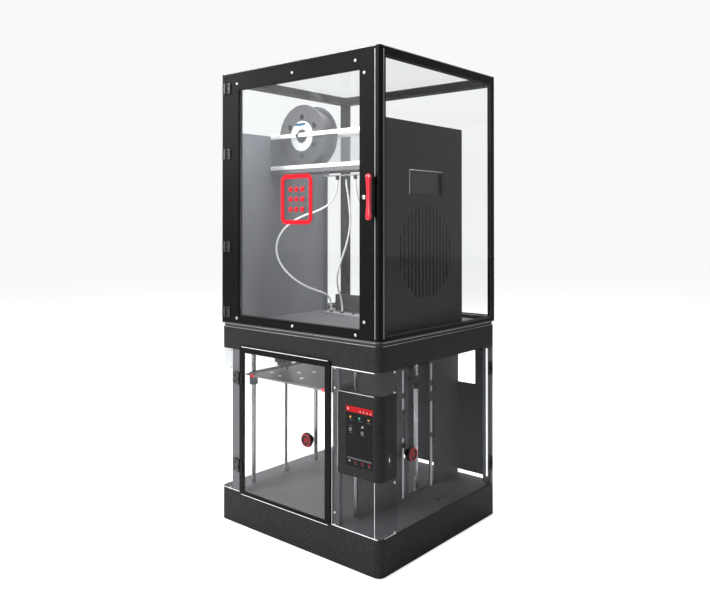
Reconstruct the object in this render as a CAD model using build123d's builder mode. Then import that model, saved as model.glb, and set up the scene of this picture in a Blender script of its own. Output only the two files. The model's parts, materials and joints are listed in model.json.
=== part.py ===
"""Enclosed filament printer with a glazed spool cabinet standing on top of it.

The lower unit is a plinth, a glazed build chamber and a head block that hides the gantry.
The upper unit is a cabinet with a hinged glass door, side plates, a spool rack and the tubes
that lead the filament down to the head block. All sizes are in millimetres, +Z is up and the
origin is the centre of the footprint, on the ground.
"""

import os
from math import cos, pi, radians, sin, sqrt, tan

from build123d import *

os.makedirs("parts", exist_ok=True)

# ---------------------------------------------------------------- overall sizes
BODY_WIDTH = 620.0
BODY_DEPTH = 574.0
CORNER_RADIUS = 20.0
FOOT_HEIGHT = 4.0
FOOT_RADIUS = 18.0
FOOT_INSET = 42.0
PLINTH_TOP = 100.0
WINDOW_HEIGHT = 422.0
HEAD_HEIGHT = 64.0
SEAL_HEIGHT = 11.0
CABINET_HEIGHT = 756.0

# ---------------------------------------------------------------- stock and fits
SHEET = 2.0
WALL = 3.0
PANEL = 4.0
SEAM = 0.3
RUN_FIT = 0.05
EDGE = 1.0

# ---------------------------------------------------------------- knobs and handle
KNOB_RADIUS = 23.0
KNOB_HEIGHT = 22.0
KNOB_NECK_RADIUS = 10.0
KNOB_NECK_HEIGHT = 7.0
HANDLE_HEIGHT = 128.0
HANDLE_WIDTH = 22.0
HANDLE_WAIST = 17.0
HANDLE_REACH = 24.0
HANDLE_BASE_THICKNESS = 6.0
HANDLE_BASE_HEIGHT = 112.0
HANDLE_GAP_DEPTH = 10.0
HANDLE_GAP_HEIGHT = 78.0
HANDLE_EDGE_OFFSET = 2.5
HANDLE_RISE = 370.0

# ---------------------------------------------------------------- front door
FRONT_DOOR_THICKNESS = 6.0
FRONT_DOOR_LEFT = 92.0
FRONT_DOOR_MARGIN = 165.0
FRONT_DOOR_DROP = 3.0
FRONT_DOOR_LAP = 13.0
FRONT_DOOR_STILE = 19.0
FRONT_DOOR_TOP_RAIL = 18.0
FRONT_DOOR_BOTTOM_RAIL = 11.0
FRONT_DOOR_RADIUS = 10.0
FRONT_GLASS = 3.0
FRONT_KNOB_INSET = 70.0
FRONT_KNOB_RISE = 216.0

# ---------------------------------------------------------------- side door
SIDE_DOOR_FRONT = 68.0
SIDE_DOOR_MARGIN = 29.0
SIDE_DOOR_GAP = 4.0
SIDE_DOOR_RADIUS = 6.0
SIDE_KNOB_Y = 115.0
SIDE_KNOB_RISE = 197.0

# ---------------------------------------------------------------- hinges
KNUCKLE_RADIUS = 3.5
HINGE_PIN_RADIUS = 1.5
LEAF_THICKNESS = 2.5
CABINET_LEAF_WIDTH = 21.0
CABINET_FIXED_LEAF_WIDTH = 15.0
CABINET_LEAF_HEIGHT = 31.0
CABINET_HINGE_RISES = (35.0, 232.0)
CABINET_HINGE_DROPS = (244.0, 45.0)
FRONT_LEAF_WIDTH = 13.0
FRONT_FIXED_LEAF_WIDTH = 27.0
FRONT_LEAF_HEIGHT = 34.0
FRONT_HINGE_RISE = 83.0
FRONT_HINGE_DROP = 96.0
SIDE_LEAF_WIDTH = 14.0
SIDE_FIXED_LEAF_WIDTH = 10.0
SIDE_LEAF_HEIGHT = 40.0
SIDE_HINGE_RISE = 65.0
SIDE_HINGE_DROP = 67.0
LEAF_SLOT_LENGTH = 8.0
LEAF_SLOT_WIDTH = 3.5

# ---------------------------------------------------------------- lower frame
LEFT_POST_X = 54.0
LEFT_POST_WIDTH = 36.0
FRONT_POST_DEPTH = 17.5
RIGHT_POST_MARGIN = 163.0
RIGHT_POST_WIDTH = 22.0
REAR_POST = 28.0
LEFT_CORNER_DEPTH = 60.0
RIGHT_WINDOW_WIDTH = 165.0
RIGHT_WINDOW_DEPTH = 66.5
DECK_THICKNESS = 3.0

# ---------------------------------------------------------------- screen box
SCREEN_BOX_WIDTH = 140.0
SCREEN_BOX_HEIGHT = 217.0
SCREEN_BOX_RISE = 145.0
SCREEN_BOX_DEPTH = 65.0
SCREEN_BOX_SKIN = 3.0
SCREEN_WIDTH = 90.0
SCREEN_HEIGHT = 156.0
SCREEN_MARGIN = 21.0
SCREEN_RISE = 28.0
SCREEN_THICKNESS = 2.0
USB_Y = 36.0
USB_RISE = 52.0
USB_WIDTH = 15.0
USB_HEIGHT = 30.0
USB_SLOT_WIDTH = 5.5
USB_SLOT_HEIGHT = 13.0

# ---------------------------------------------------------------- side partition and rear panel
BAY_WIDTH = 128.0
PARTITION_FRONT = 66.0
PARTITION_MARGIN = 16.0
SLOT_COLUMN_Y = (272.0, 418.0)
SLOT_WIDTH = 10.0
LONG_SLOT = 82.0
SHORT_SLOT = 15.0
SLOT_GAP = 17.0
BAY_MARGIN = 20.0
BAY_SILL = 10.0
REAR_PANEL_LEFT = 46.0
REAR_PANEL_MARGIN = 36.0
REAR_PANEL_BOTTOM = 12.0
REAR_PANEL_TOP = 10.0
REAR_WINDOW_MARGIN = 69.0
REAR_WINDOW_WIDTH = 64.0
REAR_WINDOW_DROP = 24.0
REAR_WINDOW_HEIGHT = 106.0

# ---------------------------------------------------------------- lift of the bed
BED_SHIFT = 18.0
BED_WIDTH = 302.0
BED_FRONT = 20.0
BED_DEPTH = 370.0
BED_DROP = 72.0
BED_THICKNESS = 6.0
BED_STANDOFF = 4.0
CARRIAGE_THICKNESS = 16.0
CARRIAGE_SHEET = 4.0
LIFT_X = 56.0
LIFT_FRONT_Y = 82.0
LIFT_SCREW_Y = 221.0
LIFT_REAR_Y = 360.0
LIFT_ROD_RADIUS = 7.0
LIFT_BEARING_RADIUS = 13.0
LIFT_BEARING_HEIGHT = 36.0
SCREW_RADIUS = 5.0
NUT_RADIUS = 11.0
COUPLING_RADIUS = 9.5
COUPLING_HEIGHT = 18.0
JOURNAL_RADIUS = 3.5
MOTOR_SIZE = 42.0
MOTOR_LENGTH = 40.0
MOTOR_BOSS_RADIUS = 11.0
MOTOR_BOSS_HEIGHT = 2.0
SHAFT_RADIUS = 2.5
CLIP_SIZE = 14.0
SHAFT_SEAT = 6.0
NUT_HEIGHT = 18.0
BED_RADIUS = 6.0
SHEET_INSET = 30.0
STANDOFF_RADIUS = 5.0
CLIP_LIP = 2.0

# ---------------------------------------------------------------- gantry
GANTRY_RISE = 34.0
GANTRY_ROD_RADIUS = 5.0
GANTRY_ROD_X = 35.0
HEAD_INSET = 29.0
HEAD_Y = 130.0
BEAM_ROD_RADIUS = 4.0
BEAM_ROD_SPREAD = 18.0
END_BLOCK_WIDTH = 24.0
END_BLOCK_DEPTH = 64.0
END_BLOCK_HEIGHT = 26.0
ROD_PLATE = 3.0
ROD_PLATE_WIDTH = 78.0
ROD_SEAT_DEPTH = 14.0
REAR_SEAT_MARGIN = 74.0
SHAFT_EAR = 6.0
SHAFT_EAR_HALF = 11.0
BELT_WIDTH = 6.0
BELT_THICKNESS = 1.4
BELT_X = 9.0
PULLEY_RADIUS = 6.4
PULLEY_FLANGE_RADIUS = 8.4
DRIVE_SHAFT_RADIUS = 4.0
IDLER_Y = 24.0
HEAD_WIDTH = 64.0
HEAD_DEPTH = 52.0
HEAD_BLOCK_HEIGHT = 24.0
COWL_WIDTH = 46.0
COWL_DEPTH = 44.0
COWL_GAP = 24.0
COWL_RADIUS = 5.0
NOZZLE_GAP = 1.5
NOZZLE_SPREAD = 24.0
CROSS_MOTOR_LENGTH = 34.0
CLAMP_WIDTH = 20.0
CLAMP_WALL = 3.0
PULLEY_FLANGE = 1.5
FAN_RADIUS = 17.0
FAN_HUB_RADIUS = 6.0
FAN_DEPTH = 4.0
HEATER_WIDTH = 16.0
HEATER_DEPTH = 22.0
HEATER_HEIGHT = 11.0
NOZZLE_TIP_RADIUS = 1.0
NOZZLE_BASE_RADIUS = 4.0

# ---------------------------------------------------------------- cabinet
CABINET_RADIUS = 8.0
POST_SIDE = 20.0
LEFT_STILE = 22.0
RIGHT_STILE = 15.5
CABINET_SILL = 12.0
CABINET_HEAD = 24.0
FRONT_HEAD = 11.0
GROOVE = 2.0
ROOF_LEDGE = 6.0
CABINET_DOOR_GAP = 0.5
CABINET_DOOR_THICKNESS = 16.0
CABINET_LATCH_GAP = 5.0
DOOR_LEFT_BORDER = 57.0
DOOR_RIGHT_BORDER = 47.0
DOOR_TOP_BORDER = 42.0
DOOR_BOTTOM_BORDER = 24.0
CABINET_DOOR_RADIUS = 8.0
GLASS_SEAT = 6.0

# ---------------------------------------------------------------- rack and spool
SIDE_PLATE_INSET = 30.0
SIDE_PLATE_FRONT = 38.0
SIDE_PLATE_REAR = 430.0
SIDE_PLATE_DROP = 175.0
SIDE_FLANGE = 17.0
GRILLE_Y = 244.0
GRILLE_RISE = 223.0
GRILLE_RADIUS = 128.0
GRILLE_PITCH = 17.0
GRILLE_SLOT = 7.0
POCKET_Y = 168.0
POCKET_WIDTH = 157.0
POCKET_DROP = 372.0
POCKET_HEIGHT = 64.0
POCKET_DEPTH = 8.0
RACK_FRONT = 181.0
RACK_REAR = 262.0
RACK_HEIGHT = 111.0
RACK_DROP = 174.0
RACK_RAIL_HEIGHT = 12.0
RACK_RAIL_THICKNESS = 6.0
TRAY_DROP = 12.0
SPOOL_X = 152.0
SPOOL_Y = 195.0
SPOOL_DROP = 181.0
SPOOL_RADIUS = 98.0
SPOOL_WIDTH = 60.0
SPOOL_FLANGE = 3.0
SPOOL_CORE_RADIUS = 40.0
SPOOL_BORE_RADIUS = 21.5
SPOOL_WINDOW_RADIUS = 9.0
SPOOL_WINDOW_ORBIT_RADIUS = 60.0
SPOOL_WINDOW_COUNT = 6
WINDING_RADIUS = 84.0
SPINDLE_RADIUS = 6.0

# ---------------------------------------------------------------- filament tubes
TUBE_RADIUS = 3.0
FITTING_RADIUS = 6.0
FITTING_LENGTH = 12.0
OUTLET_BAR_DROP = 306.0
OUTLET_X = (271.0, 307.0, 343.0, 379.0)
OUTLET_Y = 230.0
INLET_X = (132.0, 180.0, 228.0, 276.0)
INLET_Y = 355.0
BRACKET_DEPTH = 24.0
BRACKET_SHEET = 3.0
INLET_BAR_HEIGHT = 6.0
INLET_FITTING_LENGTH = 6.0
COLLET_WALL = 1.5
TUBE_STUB = 18.0
TUBE_FALL = 420.0  # height between the tubes' ends that their routes are drawn for
BEND_SHARE = 0.45  # share of a run that a bend in a tube may take

# ---------------------------------------------------------------- power inlet
INLET_MODULE_X = 120.0
INLET_MODULE_Z = 52.0
INLET_MODULE_WIDTH = 50.0
INLET_MODULE_HEIGHT = 62.0
INLET_MODULE_DEPTH = 26.0
SOCKET_WIDTH = 25.0
SOCKET_HEIGHT = 17.0
SWITCH_WIDTH = 20.0
SWITCH_TILT = 6.0
SWITCH_PIVOT_DEPTH = 7.0
SWITCH_HALF = 6.2
SWITCH_CLEAR = 1.1
SWITCH_PIN_RADIUS = 1.5
SWITCH_PIN_LENGTH = 2.0
SWITCH_TAIL = 4.0
SOCKET_DROP = 12.0
SWITCH_RISE = 16.0
PRONG_SPREAD = 7.0
PRONG_DROP = 2.0
PRONG_WIDTH = 2.0
PRONG_HEIGHT = 4.0

# ---------------------------------------------------------------- electronics in the plinth
SUPPLY_X = 112.0
SUPPLY_GAP = 48.0
SUPPLY_LENGTH = 215.0
SUPPLY_DEPTH = 115.0
SUPPLY_HEIGHT = 30.0
BOARD_X = 120.0
BOARD_Y = 130.0
BOARD_LENGTH = 160.0
BOARD_DEPTH = 110.0
BOARD_THICKNESS = 1.6
BOARD_STANDOFF = 8.0
BOARD_STANDOFF_RADIUS = 3.0
BOARD_STANDOFF_INSET = 6.0
DRIVER_COUNT = 5
DRIVER_PITCH = 25.0
DRIVER_SIDE = 16.0
DRIVER_HEIGHT = 8.4

# ---------------------------------------------------------------- derived levels and faces
FRONT_DOOR_FACE = FRONT_DOOR_THICKNESS + SEAM
FRONT_GLASS_FACE = FRONT_DOOR_FACE - EDGE
FRONT_REACH = FRONT_GLASS_FACE + KNOB_HEIGHT
LEFT = -(BODY_WIDTH + KNOB_HEIGHT) / 2
RIGHT = LEFT + BODY_WIDTH
FRONT = (FRONT_REACH - BODY_DEPTH) / 2
REAR = FRONT + BODY_DEPTH
CENTRE_X = (LEFT + RIGHT) / 2
CENTRE_Y = (FRONT + REAR) / 2
WINDOW_TOP = PLINTH_TOP + WINDOW_HEIGHT
HEAD_TOP = WINDOW_TOP + HEAD_HEIGHT
CABINET_BASE = HEAD_TOP + SEAL_HEIGHT
CABINET_TOP = CABINET_BASE + CABINET_HEIGHT
FLOOR_TOP = CABINET_BASE + WALL
FRONT_DOOR_RIGHT = BODY_WIDTH - FRONT_DOOR_MARGIN
FRONT_DOOR_BOTTOM = PLINTH_TOP - FRONT_DOOR_DROP
FRONT_DOOR_TOP = WINDOW_TOP + FRONT_DOOR_LAP
SIDE_DOOR_REAR = BODY_DEPTH - SIDE_DOOR_MARGIN
RIGHT_POST_X = BODY_WIDTH - RIGHT_POST_MARGIN
SCREEN_BOX_X = BODY_WIDTH - SCREEN_BOX_WIDTH
SCREEN_BOX_BOTTOM = PLINTH_TOP + SCREEN_BOX_RISE
SCREEN_BOX_TOP = SCREEN_BOX_BOTTOM + SCREEN_BOX_HEIGHT
PARTITION_X = BODY_WIDTH - BAY_WIDTH
REAR_PANEL_RIGHT = BODY_WIDTH - REAR_PANEL_MARGIN
BED_CENTRE_X = PARTITION_X / 2 + BED_SHIFT
HEAD_X = BED_CENTRE_X - BED_WIDTH / 2 + HEAD_INSET
BED_TOP = WINDOW_TOP - BED_DROP
COWL_BOTTOM = BED_TOP + COWL_GAP
GANTRY_Z = WINDOW_TOP + GANTRY_RISE
REAR_SEAT_Y = BODY_DEPTH - REAR_SEAT_MARGIN
RACK_TOP = CABINET_TOP - RACK_DROP
RACK_BOTTOM = RACK_TOP - RACK_HEIGHT
SPOOL_Z = CABINET_TOP - SPOOL_DROP
OUTLET_BAR_TOP = CABINET_TOP - OUTLET_BAR_DROP
LIFT_COLUMNS = (LIFT_X, 2 * BED_CENTRE_X - LIFT_X)
GANTRY_COLUMNS = (GANTRY_ROD_X, 2 * BED_CENTRE_X - GANTRY_ROD_X)
BELT_COLUMNS = (BELT_X, 2 * BED_CENTRE_X - BELT_X)
CARRIAGE_TOP = BED_TOP - BED_THICKNESS - BED_STANDOFF

ALONG = {"X": (0, 90, 0), "Y": (-90, 0, 0), "Z": (0, 0, 0)}


# ---------------------------------------------------------------- helpers
def save(piece, name):
    """Label a finished piece and write it as one STEP file."""
    piece.part.label = name
    export_step(piece.part, f"parts/{name}.step")


def bar(x_span, y_span, z_span, mode=Mode.ADD):
    """Add, or cut, a straight bar; X runs from the left face and Y from the front face."""
    lengths = (x_span[1] - x_span[0], y_span[1] - y_span[0], z_span[1] - z_span[0])
    with Locations((LEFT + x_span[0], FRONT + y_span[0], z_span[0])):
        Box(*lengths, align=(Align.MIN, Align.MIN, Align.MIN), mode=mode)


def rod(x, y, z, radius, length, along="Z", mode=Mode.ADD):
    """Add, or cut, a round bar that starts at a point and runs along one axis."""
    with Locations((LEFT + x, FRONT + y, z)):
        Cylinder(radius, length, rotation=ALONG[along],
                 align=(Align.CENTER, Align.CENTER, Align.MIN), mode=mode)


def footprint(level):
    """Give the plane at a level whose origin is the centre of the body."""
    return Plane((CENTRE_X, CENTRE_Y, level))


def wall_ring(level, height, wall, inset=0.0, radius=CORNER_RADIUS):
    """Add four bent panels that close a ring, with a seam beside each rounded corner."""
    width = BODY_WIDTH - 2 * inset
    depth = BODY_DEPTH - 2 * inset
    with BuildSketch(footprint(level)) as outline:
        RectangleRounded(width, depth, radius - inset)
        RectangleRounded(width - 2 * wall, depth - 2 * wall, radius - inset - wall, mode=Mode.SUBTRACT)
        for side in (-1, 1):
            with Locations((0, side * (depth / 2 - radius))):
                Rectangle(width, SEAM, mode=Mode.SUBTRACT)
    extrude(outline.sketch, amount=height)


def front_plane(x, z, proud=0.0):
    """Give a plane on the front face, facing forwards, with its X along the width."""
    return Plane(origin=(LEFT + x, FRONT - proud, z), x_dir=(1, 0, 0), z_dir=(0, -1, 0))


def side_plane(y, z, proud=0.0):
    """Give a plane on the right face, facing outwards, with its X towards the front."""
    return Plane(origin=(RIGHT + proud, FRONT + y, z), x_dir=(0, -1, 0), z_dir=(1, 0, 0))


def knuckles(height):
    """Give the spans of a hinge's three knuckles, from the lowest, about its middle."""
    third = height / 3
    return [(-height / 2 + i * third + SEAM / 2, -height / 2 + (i + 1) * third - SEAM / 2) for i in range(3)]


def hinge_leaf(face, width, height, moving, packing=0.0):
    """Add one leaf of a butt hinge whose pin stands in front of the face plane's Y axis.

    A moving leaf lies on the face plane's +X side and has the middle knuckle. A fixed leaf lies
    on its other side, has the outer knuckles and carries the pin. Packing is how far the fixed
    leaf's seat lies behind the face plane.
    """
    side = 1 if moving else -1
    reach = KNUCKLE_RADIUS + SEAM
    spans = knuckles(height)
    own = spans[1:2] if moving else [spans[0], spans[2]]
    seat = face.offset(-packing)
    with BuildSketch(seat) as plate:
        with Locations((side * (reach + width) / 2, 0)):
            Rectangle(width - reach, height)
            with GridLocations(0, height / 2, 1, 2):
                Rectangle(min(LEAF_SLOT_LENGTH, width - reach - 2 * EDGE), LEAF_SLOT_WIDTH,
                          mode=Mode.SUBTRACT)
    extrude(plate.sketch, amount=packing + LEAF_THICKNESS)
    pin_line = face.offset(reach)
    for low, high in own:
        with BuildSketch(face) as tab:
            with Locations((side * (reach + EDGE) / 2, (low + high) / 2)):
                Rectangle(reach + EDGE, high - low)
        extrude(tab.sketch, amount=LEAF_THICKNESS)
        with Locations(Plane(origin=pin_line.from_local_coords((0, low, 0)), z_dir=face.y_dir)):
            Cylinder(KNUCKLE_RADIUS, high - low, align=(Align.CENTER, Align.CENTER, Align.MIN))
    with Locations(Plane(origin=pin_line.from_local_coords((0, -height / 2, 0)), z_dir=face.y_dir)):
        if moving:
            Cylinder(HINGE_PIN_RADIUS + RUN_FIT, height, mode=Mode.SUBTRACT,
                     align=(Align.CENTER, Align.CENTER, Align.MIN))
        else:
            Cylinder(HINGE_PIN_RADIUS, height, align=(Align.CENTER, Align.CENTER, Align.MIN))


def knob(face):
    """Add a round knob with a necked stem and a ring groove, standing on a plane."""
    with BuildSketch(Plane(origin=face.origin, x_dir=face.x_dir, z_dir=-face.y_dir)) as profile:
        with BuildLine():
            Polyline((0, 0), (KNOB_NECK_RADIUS, 0), (KNOB_NECK_RADIUS, KNOB_NECK_HEIGHT),
                     (KNOB_RADIUS - 2 * EDGE, KNOB_NECK_HEIGHT),
                     (KNOB_RADIUS, KNOB_NECK_HEIGHT + 2 * EDGE),
                     (KNOB_RADIUS, KNOB_HEIGHT - 3 * EDGE), (KNOB_RADIUS - 3 * EDGE, KNOB_HEIGHT),
                     (0, KNOB_HEIGHT), close=True)
        make_face()
    revolve(profile.sketch, axis=Axis(face.origin, face.z_dir))


# ================================================================ lower unit
with BuildPart() as base_plinth:
    wall_ring(FOOT_HEIGHT, PLINTH_TOP - FOOT_HEIGHT, WALL)
    with BuildSketch(footprint(FOOT_HEIGHT)):
        RectangleRounded(BODY_WIDTH - 2 * (WALL + SEAM), BODY_DEPTH - 2 * (WALL + SEAM),
                         CORNER_RADIUS - WALL - SEAM)
    extrude(amount=SHEET)
    bar((INLET_MODULE_X, INLET_MODULE_X + INLET_MODULE_WIDTH), (BODY_DEPTH - 2 * WALL, BODY_DEPTH),
        (INLET_MODULE_Z - INLET_MODULE_HEIGHT / 2, INLET_MODULE_Z + INLET_MODULE_HEIGHT / 2),
        Mode.SUBTRACT)
save(base_plinth, "base_plinth")

with BuildPart() as rubber_feet:
    with BuildSketch(footprint(0)):
        with GridLocations(BODY_WIDTH - 2 * FOOT_INSET, BODY_DEPTH - 2 * FOOT_INSET, 2, 2):
            Circle(FOOT_RADIUS)
    extrude(amount=FOOT_HEIGHT)
    chamfer(rubber_feet.faces().sort_by(Axis.Z)[0:4].edges(), EDGE)
save(rubber_feet, "rubber_feet")

with BuildPart() as deck_plate:
    with BuildSketch(footprint(PLINTH_TOP - DECK_THICKNESS)):
        RectangleRounded(BODY_WIDTH - 2 * (WALL + SEAM), BODY_DEPTH - 2 * (WALL + SEAM),
                         CORNER_RADIUS - WALL - SEAM)
    extrude(amount=DECK_THICKNESS)
    for column in LIFT_COLUMNS:
        rod(column, LIFT_SCREW_Y, PLINTH_TOP - DECK_THICKNESS, MOTOR_BOSS_RADIUS + SEAM,
            DECK_THICKNESS, mode=Mode.SUBTRACT)
save(deck_plate, "deck_plate")

with BuildPart() as frame_posts:
    post_span = (PLINTH_TOP, WINDOW_TOP)
    bar((LEFT_POST_X, LEFT_POST_X + LEFT_POST_WIDTH), (0, FRONT_POST_DEPTH), post_span)
    bar((RIGHT_POST_X, RIGHT_POST_X + RIGHT_POST_WIDTH), (PANEL + SEAM, FRONT_POST_DEPTH), post_span)
    for x in (0, BODY_WIDTH - REAR_POST):
        bar((x, x + REAR_POST), (BODY_DEPTH - REAR_POST, BODY_DEPTH), post_span)
    uprights = frame_posts.edges().filter_by(Axis.Z)
    rear_corners = uprights.group_by(Axis.Y)[-1]
    fillet([rear_corners.sort_by(Axis.X)[0], rear_corners.sort_by(Axis.X)[-1]], CORNER_RADIUS)
save(frame_posts, "frame_posts")

with BuildPart() as head_shell:
    wall_ring(WINDOW_TOP, HEAD_HEIGHT, WALL)
    with BuildSketch(footprint(HEAD_TOP - SHEET)):
        RectangleRounded(BODY_WIDTH - 2 * (WALL + SEAM), BODY_DEPTH - 2 * (WALL + SEAM),
                         CORNER_RADIUS - WALL - SEAM)
    extrude(amount=SHEET)
save(head_shell, "head_shell")


def corner_window(flat_x, flat_side, depth):
    """Add a clear panel that wraps a front corner, from a flat on the front to one on the side."""
    sign = -1 if flat_side == "left" else 1
    outer_x = LEFT if flat_side == "left" else RIGHT
    bend = CORNER_RADIUS - PANEL / 2
    side_x = outer_x - sign * PANEL / 2
    front_y = FRONT + PANEL / 2
    with BuildLine(Plane.XY.offset(PLINTH_TOP)) as middle:
        Line((LEFT + flat_x, front_y), (side_x - sign * bend, front_y))
        if flat_side == "left":
            RadiusArc((side_x - sign * bend, front_y), (side_x, front_y + bend), bend)
        else:
            RadiusArc((side_x - sign * bend, front_y), (side_x, front_y + bend), -bend)
        Line((side_x, front_y + bend), (side_x, FRONT + depth))
    with BuildSketch(Plane.XY.offset(PLINTH_TOP)) as band:
        trace(middle.line, PANEL)
    extrude(band.sketch, amount=WINDOW_HEIGHT)


with BuildPart() as lower_windows:
    corner_window(LEFT_POST_X - SEAM, "left", LEFT_CORNER_DEPTH)
    corner_window(BODY_WIDTH - RIGHT_WINDOW_WIDTH, "right", RIGHT_WINDOW_DEPTH)
    bar((0, PANEL), (LEFT_CORNER_DEPTH + SEAM, BODY_DEPTH - REAR_POST - SEAM), (PLINTH_TOP, WINDOW_TOP))
save(lower_windows, "lower_windows")

# ---------------------------------------------------------------- screen box and its fittings
SCREEN_BOX_RADIUS = CORNER_RADIUS + SCREEN_BOX_SKIN
SCREEN_SPAN_X = (BODY_WIDTH - SCREEN_MARGIN - SCREEN_WIDTH, BODY_WIDTH - SCREEN_MARGIN)
SCREEN_SPAN_Z = (SCREEN_BOX_BOTTOM + SCREEN_RISE, SCREEN_BOX_BOTTOM + SCREEN_RISE + SCREEN_HEIGHT)
USB_FACE = BODY_WIDTH + SCREEN_BOX_SKIN
USB_SPAN_Y = (USB_Y - USB_WIDTH / 2, USB_Y + USB_WIDTH / 2)
USB_Z = SCREEN_BOX_BOTTOM + USB_RISE
USB_SPAN_Z = (USB_Z - USB_HEIGHT / 2, USB_Z + USB_HEIGHT / 2)
with BuildPart() as screen_housing:
    with BuildSketch(Plane.XY.offset(SCREEN_BOX_BOTTOM)):
        with Locations((LEFT + SCREEN_BOX_X, FRONT - SCREEN_BOX_SKIN)):
            Rectangle(BODY_WIDTH - SCREEN_BOX_X + SCREEN_BOX_SKIN, SCREEN_BOX_DEPTH + SCREEN_BOX_SKIN,
                      align=(Align.MIN, Align.MIN))
    extrude(amount=SCREEN_BOX_TOP - SCREEN_BOX_BOTTOM)
    box_edges = screen_housing.edges().filter_by(Axis.Z).group_by(Axis.Y)[0]
    fillet(box_edges.sort_by(Axis.X)[-1], SCREEN_BOX_RADIUS)
    chamfer(screen_housing.edges().group_by(Axis.Y)[0], EDGE)
    hollow = (SCREEN_BOX_BOTTOM - EDGE, SCREEN_BOX_TOP + EDGE)
    with BuildSketch(Plane.XY.offset(hollow[0])) as clearance:
        with Locations((LEFT + SCREEN_BOX_X - EDGE, FRONT - SEAM)):
            Rectangle(BODY_WIDTH - SCREEN_BOX_X + EDGE + SEAM, SCREEN_BOX_DEPTH + 2 * EDGE,
                      align=(Align.MIN, Align.MIN))
        bend = clearance.vertices().group_by(Axis.Y)[0].sort_by(Axis.X)[-1]
        fillet(bend, CORNER_RADIUS + SEAM)
    extrude(amount=hollow[1] - hollow[0], mode=Mode.SUBTRACT)
    bar(SCREEN_SPAN_X, (-SCREEN_BOX_SKIN, -SCREEN_BOX_SKIN + SCREEN_THICKNESS), SCREEN_SPAN_Z,
        Mode.SUBTRACT)
    bar((USB_FACE - SCREEN_THICKNESS, USB_FACE), USB_SPAN_Y, USB_SPAN_Z, Mode.SUBTRACT)
save(screen_housing, "screen_housing")

with BuildPart() as touch_screen:
    bar(SCREEN_SPAN_X, (-SCREEN_BOX_SKIN + SEAM, -SCREEN_BOX_SKIN + SCREEN_THICKNESS), SCREEN_SPAN_Z)
save(touch_screen, "touch_screen")

with BuildPart() as usb_port:
    bar((USB_FACE - SCREEN_THICKNESS, USB_FACE - SEAM), USB_SPAN_Y, USB_SPAN_Z)
    bar((USB_FACE - SCREEN_THICKNESS + SEAM, USB_FACE),
        (USB_Y - USB_SLOT_WIDTH / 2, USB_Y + USB_SLOT_WIDTH / 2),
        (USB_Z - USB_SLOT_HEIGHT / 2, USB_Z + USB_SLOT_HEIGHT / 2), Mode.SUBTRACT)
save(usb_port, "usb_port")

# ---------------------------------------------------------------- side partition and rear panel
with BuildPart() as side_partition:
    partition = Plane(origin=(LEFT + PARTITION_X, FRONT, PLINTH_TOP), x_dir=(0, 1, 0), z_dir=(1, 0, 0))
    with BuildSketch(partition):
        with Locations((PARTITION_FRONT, 0)):
            Rectangle(BODY_DEPTH - PARTITION_MARGIN - PARTITION_FRONT, WINDOW_HEIGHT,
                      align=(Align.MIN, Align.MIN))
        bay = (SLOT_COLUMN_Y[0] + BAY_MARGIN, SLOT_COLUMN_Y[1] - BAY_MARGIN)
        with Locations(((bay[0] + bay[1]) / 2, WINDOW_HEIGHT / 2)):
            Rectangle(bay[1] - bay[0], WINDOW_HEIGHT - 2 * BAY_SILL, mode=Mode.SUBTRACT)
        slot_pitch = LONG_SLOT + SHORT_SLOT + 2 * SLOT_GAP
        for row in range(int((WINDOW_HEIGHT - 2 * SLOT_GAP + SLOT_GAP) // slot_pitch)):
            row_start = SLOT_GAP + row * slot_pitch
            for y in SLOT_COLUMN_Y:
                with Locations((y, row_start + LONG_SLOT / 2)):
                    Rectangle(SLOT_WIDTH, LONG_SLOT, mode=Mode.SUBTRACT)
                with Locations((y, row_start + LONG_SLOT + SLOT_GAP + SHORT_SLOT / 2)):
                    Rectangle(SLOT_WIDTH, SHORT_SLOT, mode=Mode.SUBTRACT)
    extrude(amount=SHEET)
save(side_partition, "side_partition")

with BuildPart() as rear_panel:
    panel_span_z = (PLINTH_TOP + REAR_PANEL_BOTTOM, WINDOW_TOP - REAR_PANEL_TOP)
    panel_span_y = (BODY_DEPTH - WALL - SHEET, BODY_DEPTH - WALL)
    bar((REAR_PANEL_LEFT, REAR_PANEL_RIGHT), panel_span_y, panel_span_z)
    rear_window = (BODY_WIDTH - REAR_WINDOW_MARGIN, WINDOW_TOP - REAR_WINDOW_DROP)
    bar((rear_window[0] - REAR_WINDOW_WIDTH, rear_window[0]), panel_span_y,
        (rear_window[1] - REAR_WINDOW_HEIGHT, rear_window[1]), Mode.SUBTRACT)
    lug = 2 * REAR_PANEL_TOP
    for x_span in ((REAR_POST + SEAM, REAR_PANEL_LEFT), (REAR_PANEL_RIGHT, BODY_WIDTH - REAR_POST - SEAM)):
        for low in (panel_span_z[0] + lug, panel_span_z[1] - 2 * lug):
            bar(x_span, panel_span_y, (low, low + lug))
save(rear_panel, "rear_panel")

# ---------------------------------------------------------------- guide rods and their seats
FRONT_SEAT_Y = WALL + SEAM
GANTRY_ROD_START = FRONT_SEAT_Y + ROD_SEAT_DEPTH / 2
GANTRY_ROD_LENGTH = REAR_SEAT_Y - FRONT_SEAT_Y
DRIVE_SHAFT_Y = BODY_DEPTH - WALL - SEAM - MOTOR_SIZE / 2
BELT_REACH = PULLEY_RADIUS + BELT_THICKNESS
with BuildPart() as guide_rods:
    for x in LIFT_COLUMNS:
        for y in (LIFT_FRONT_Y, LIFT_REAR_Y):
            rod(x, y, PLINTH_TOP, LIFT_ROD_RADIUS, WINDOW_HEIGHT)
    for x in GANTRY_COLUMNS:
        rod(x, GANTRY_ROD_START, GANTRY_Z, GANTRY_ROD_RADIUS, GANTRY_ROD_LENGTH, "Y")
save(guide_rods, "guide_rods")

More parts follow.
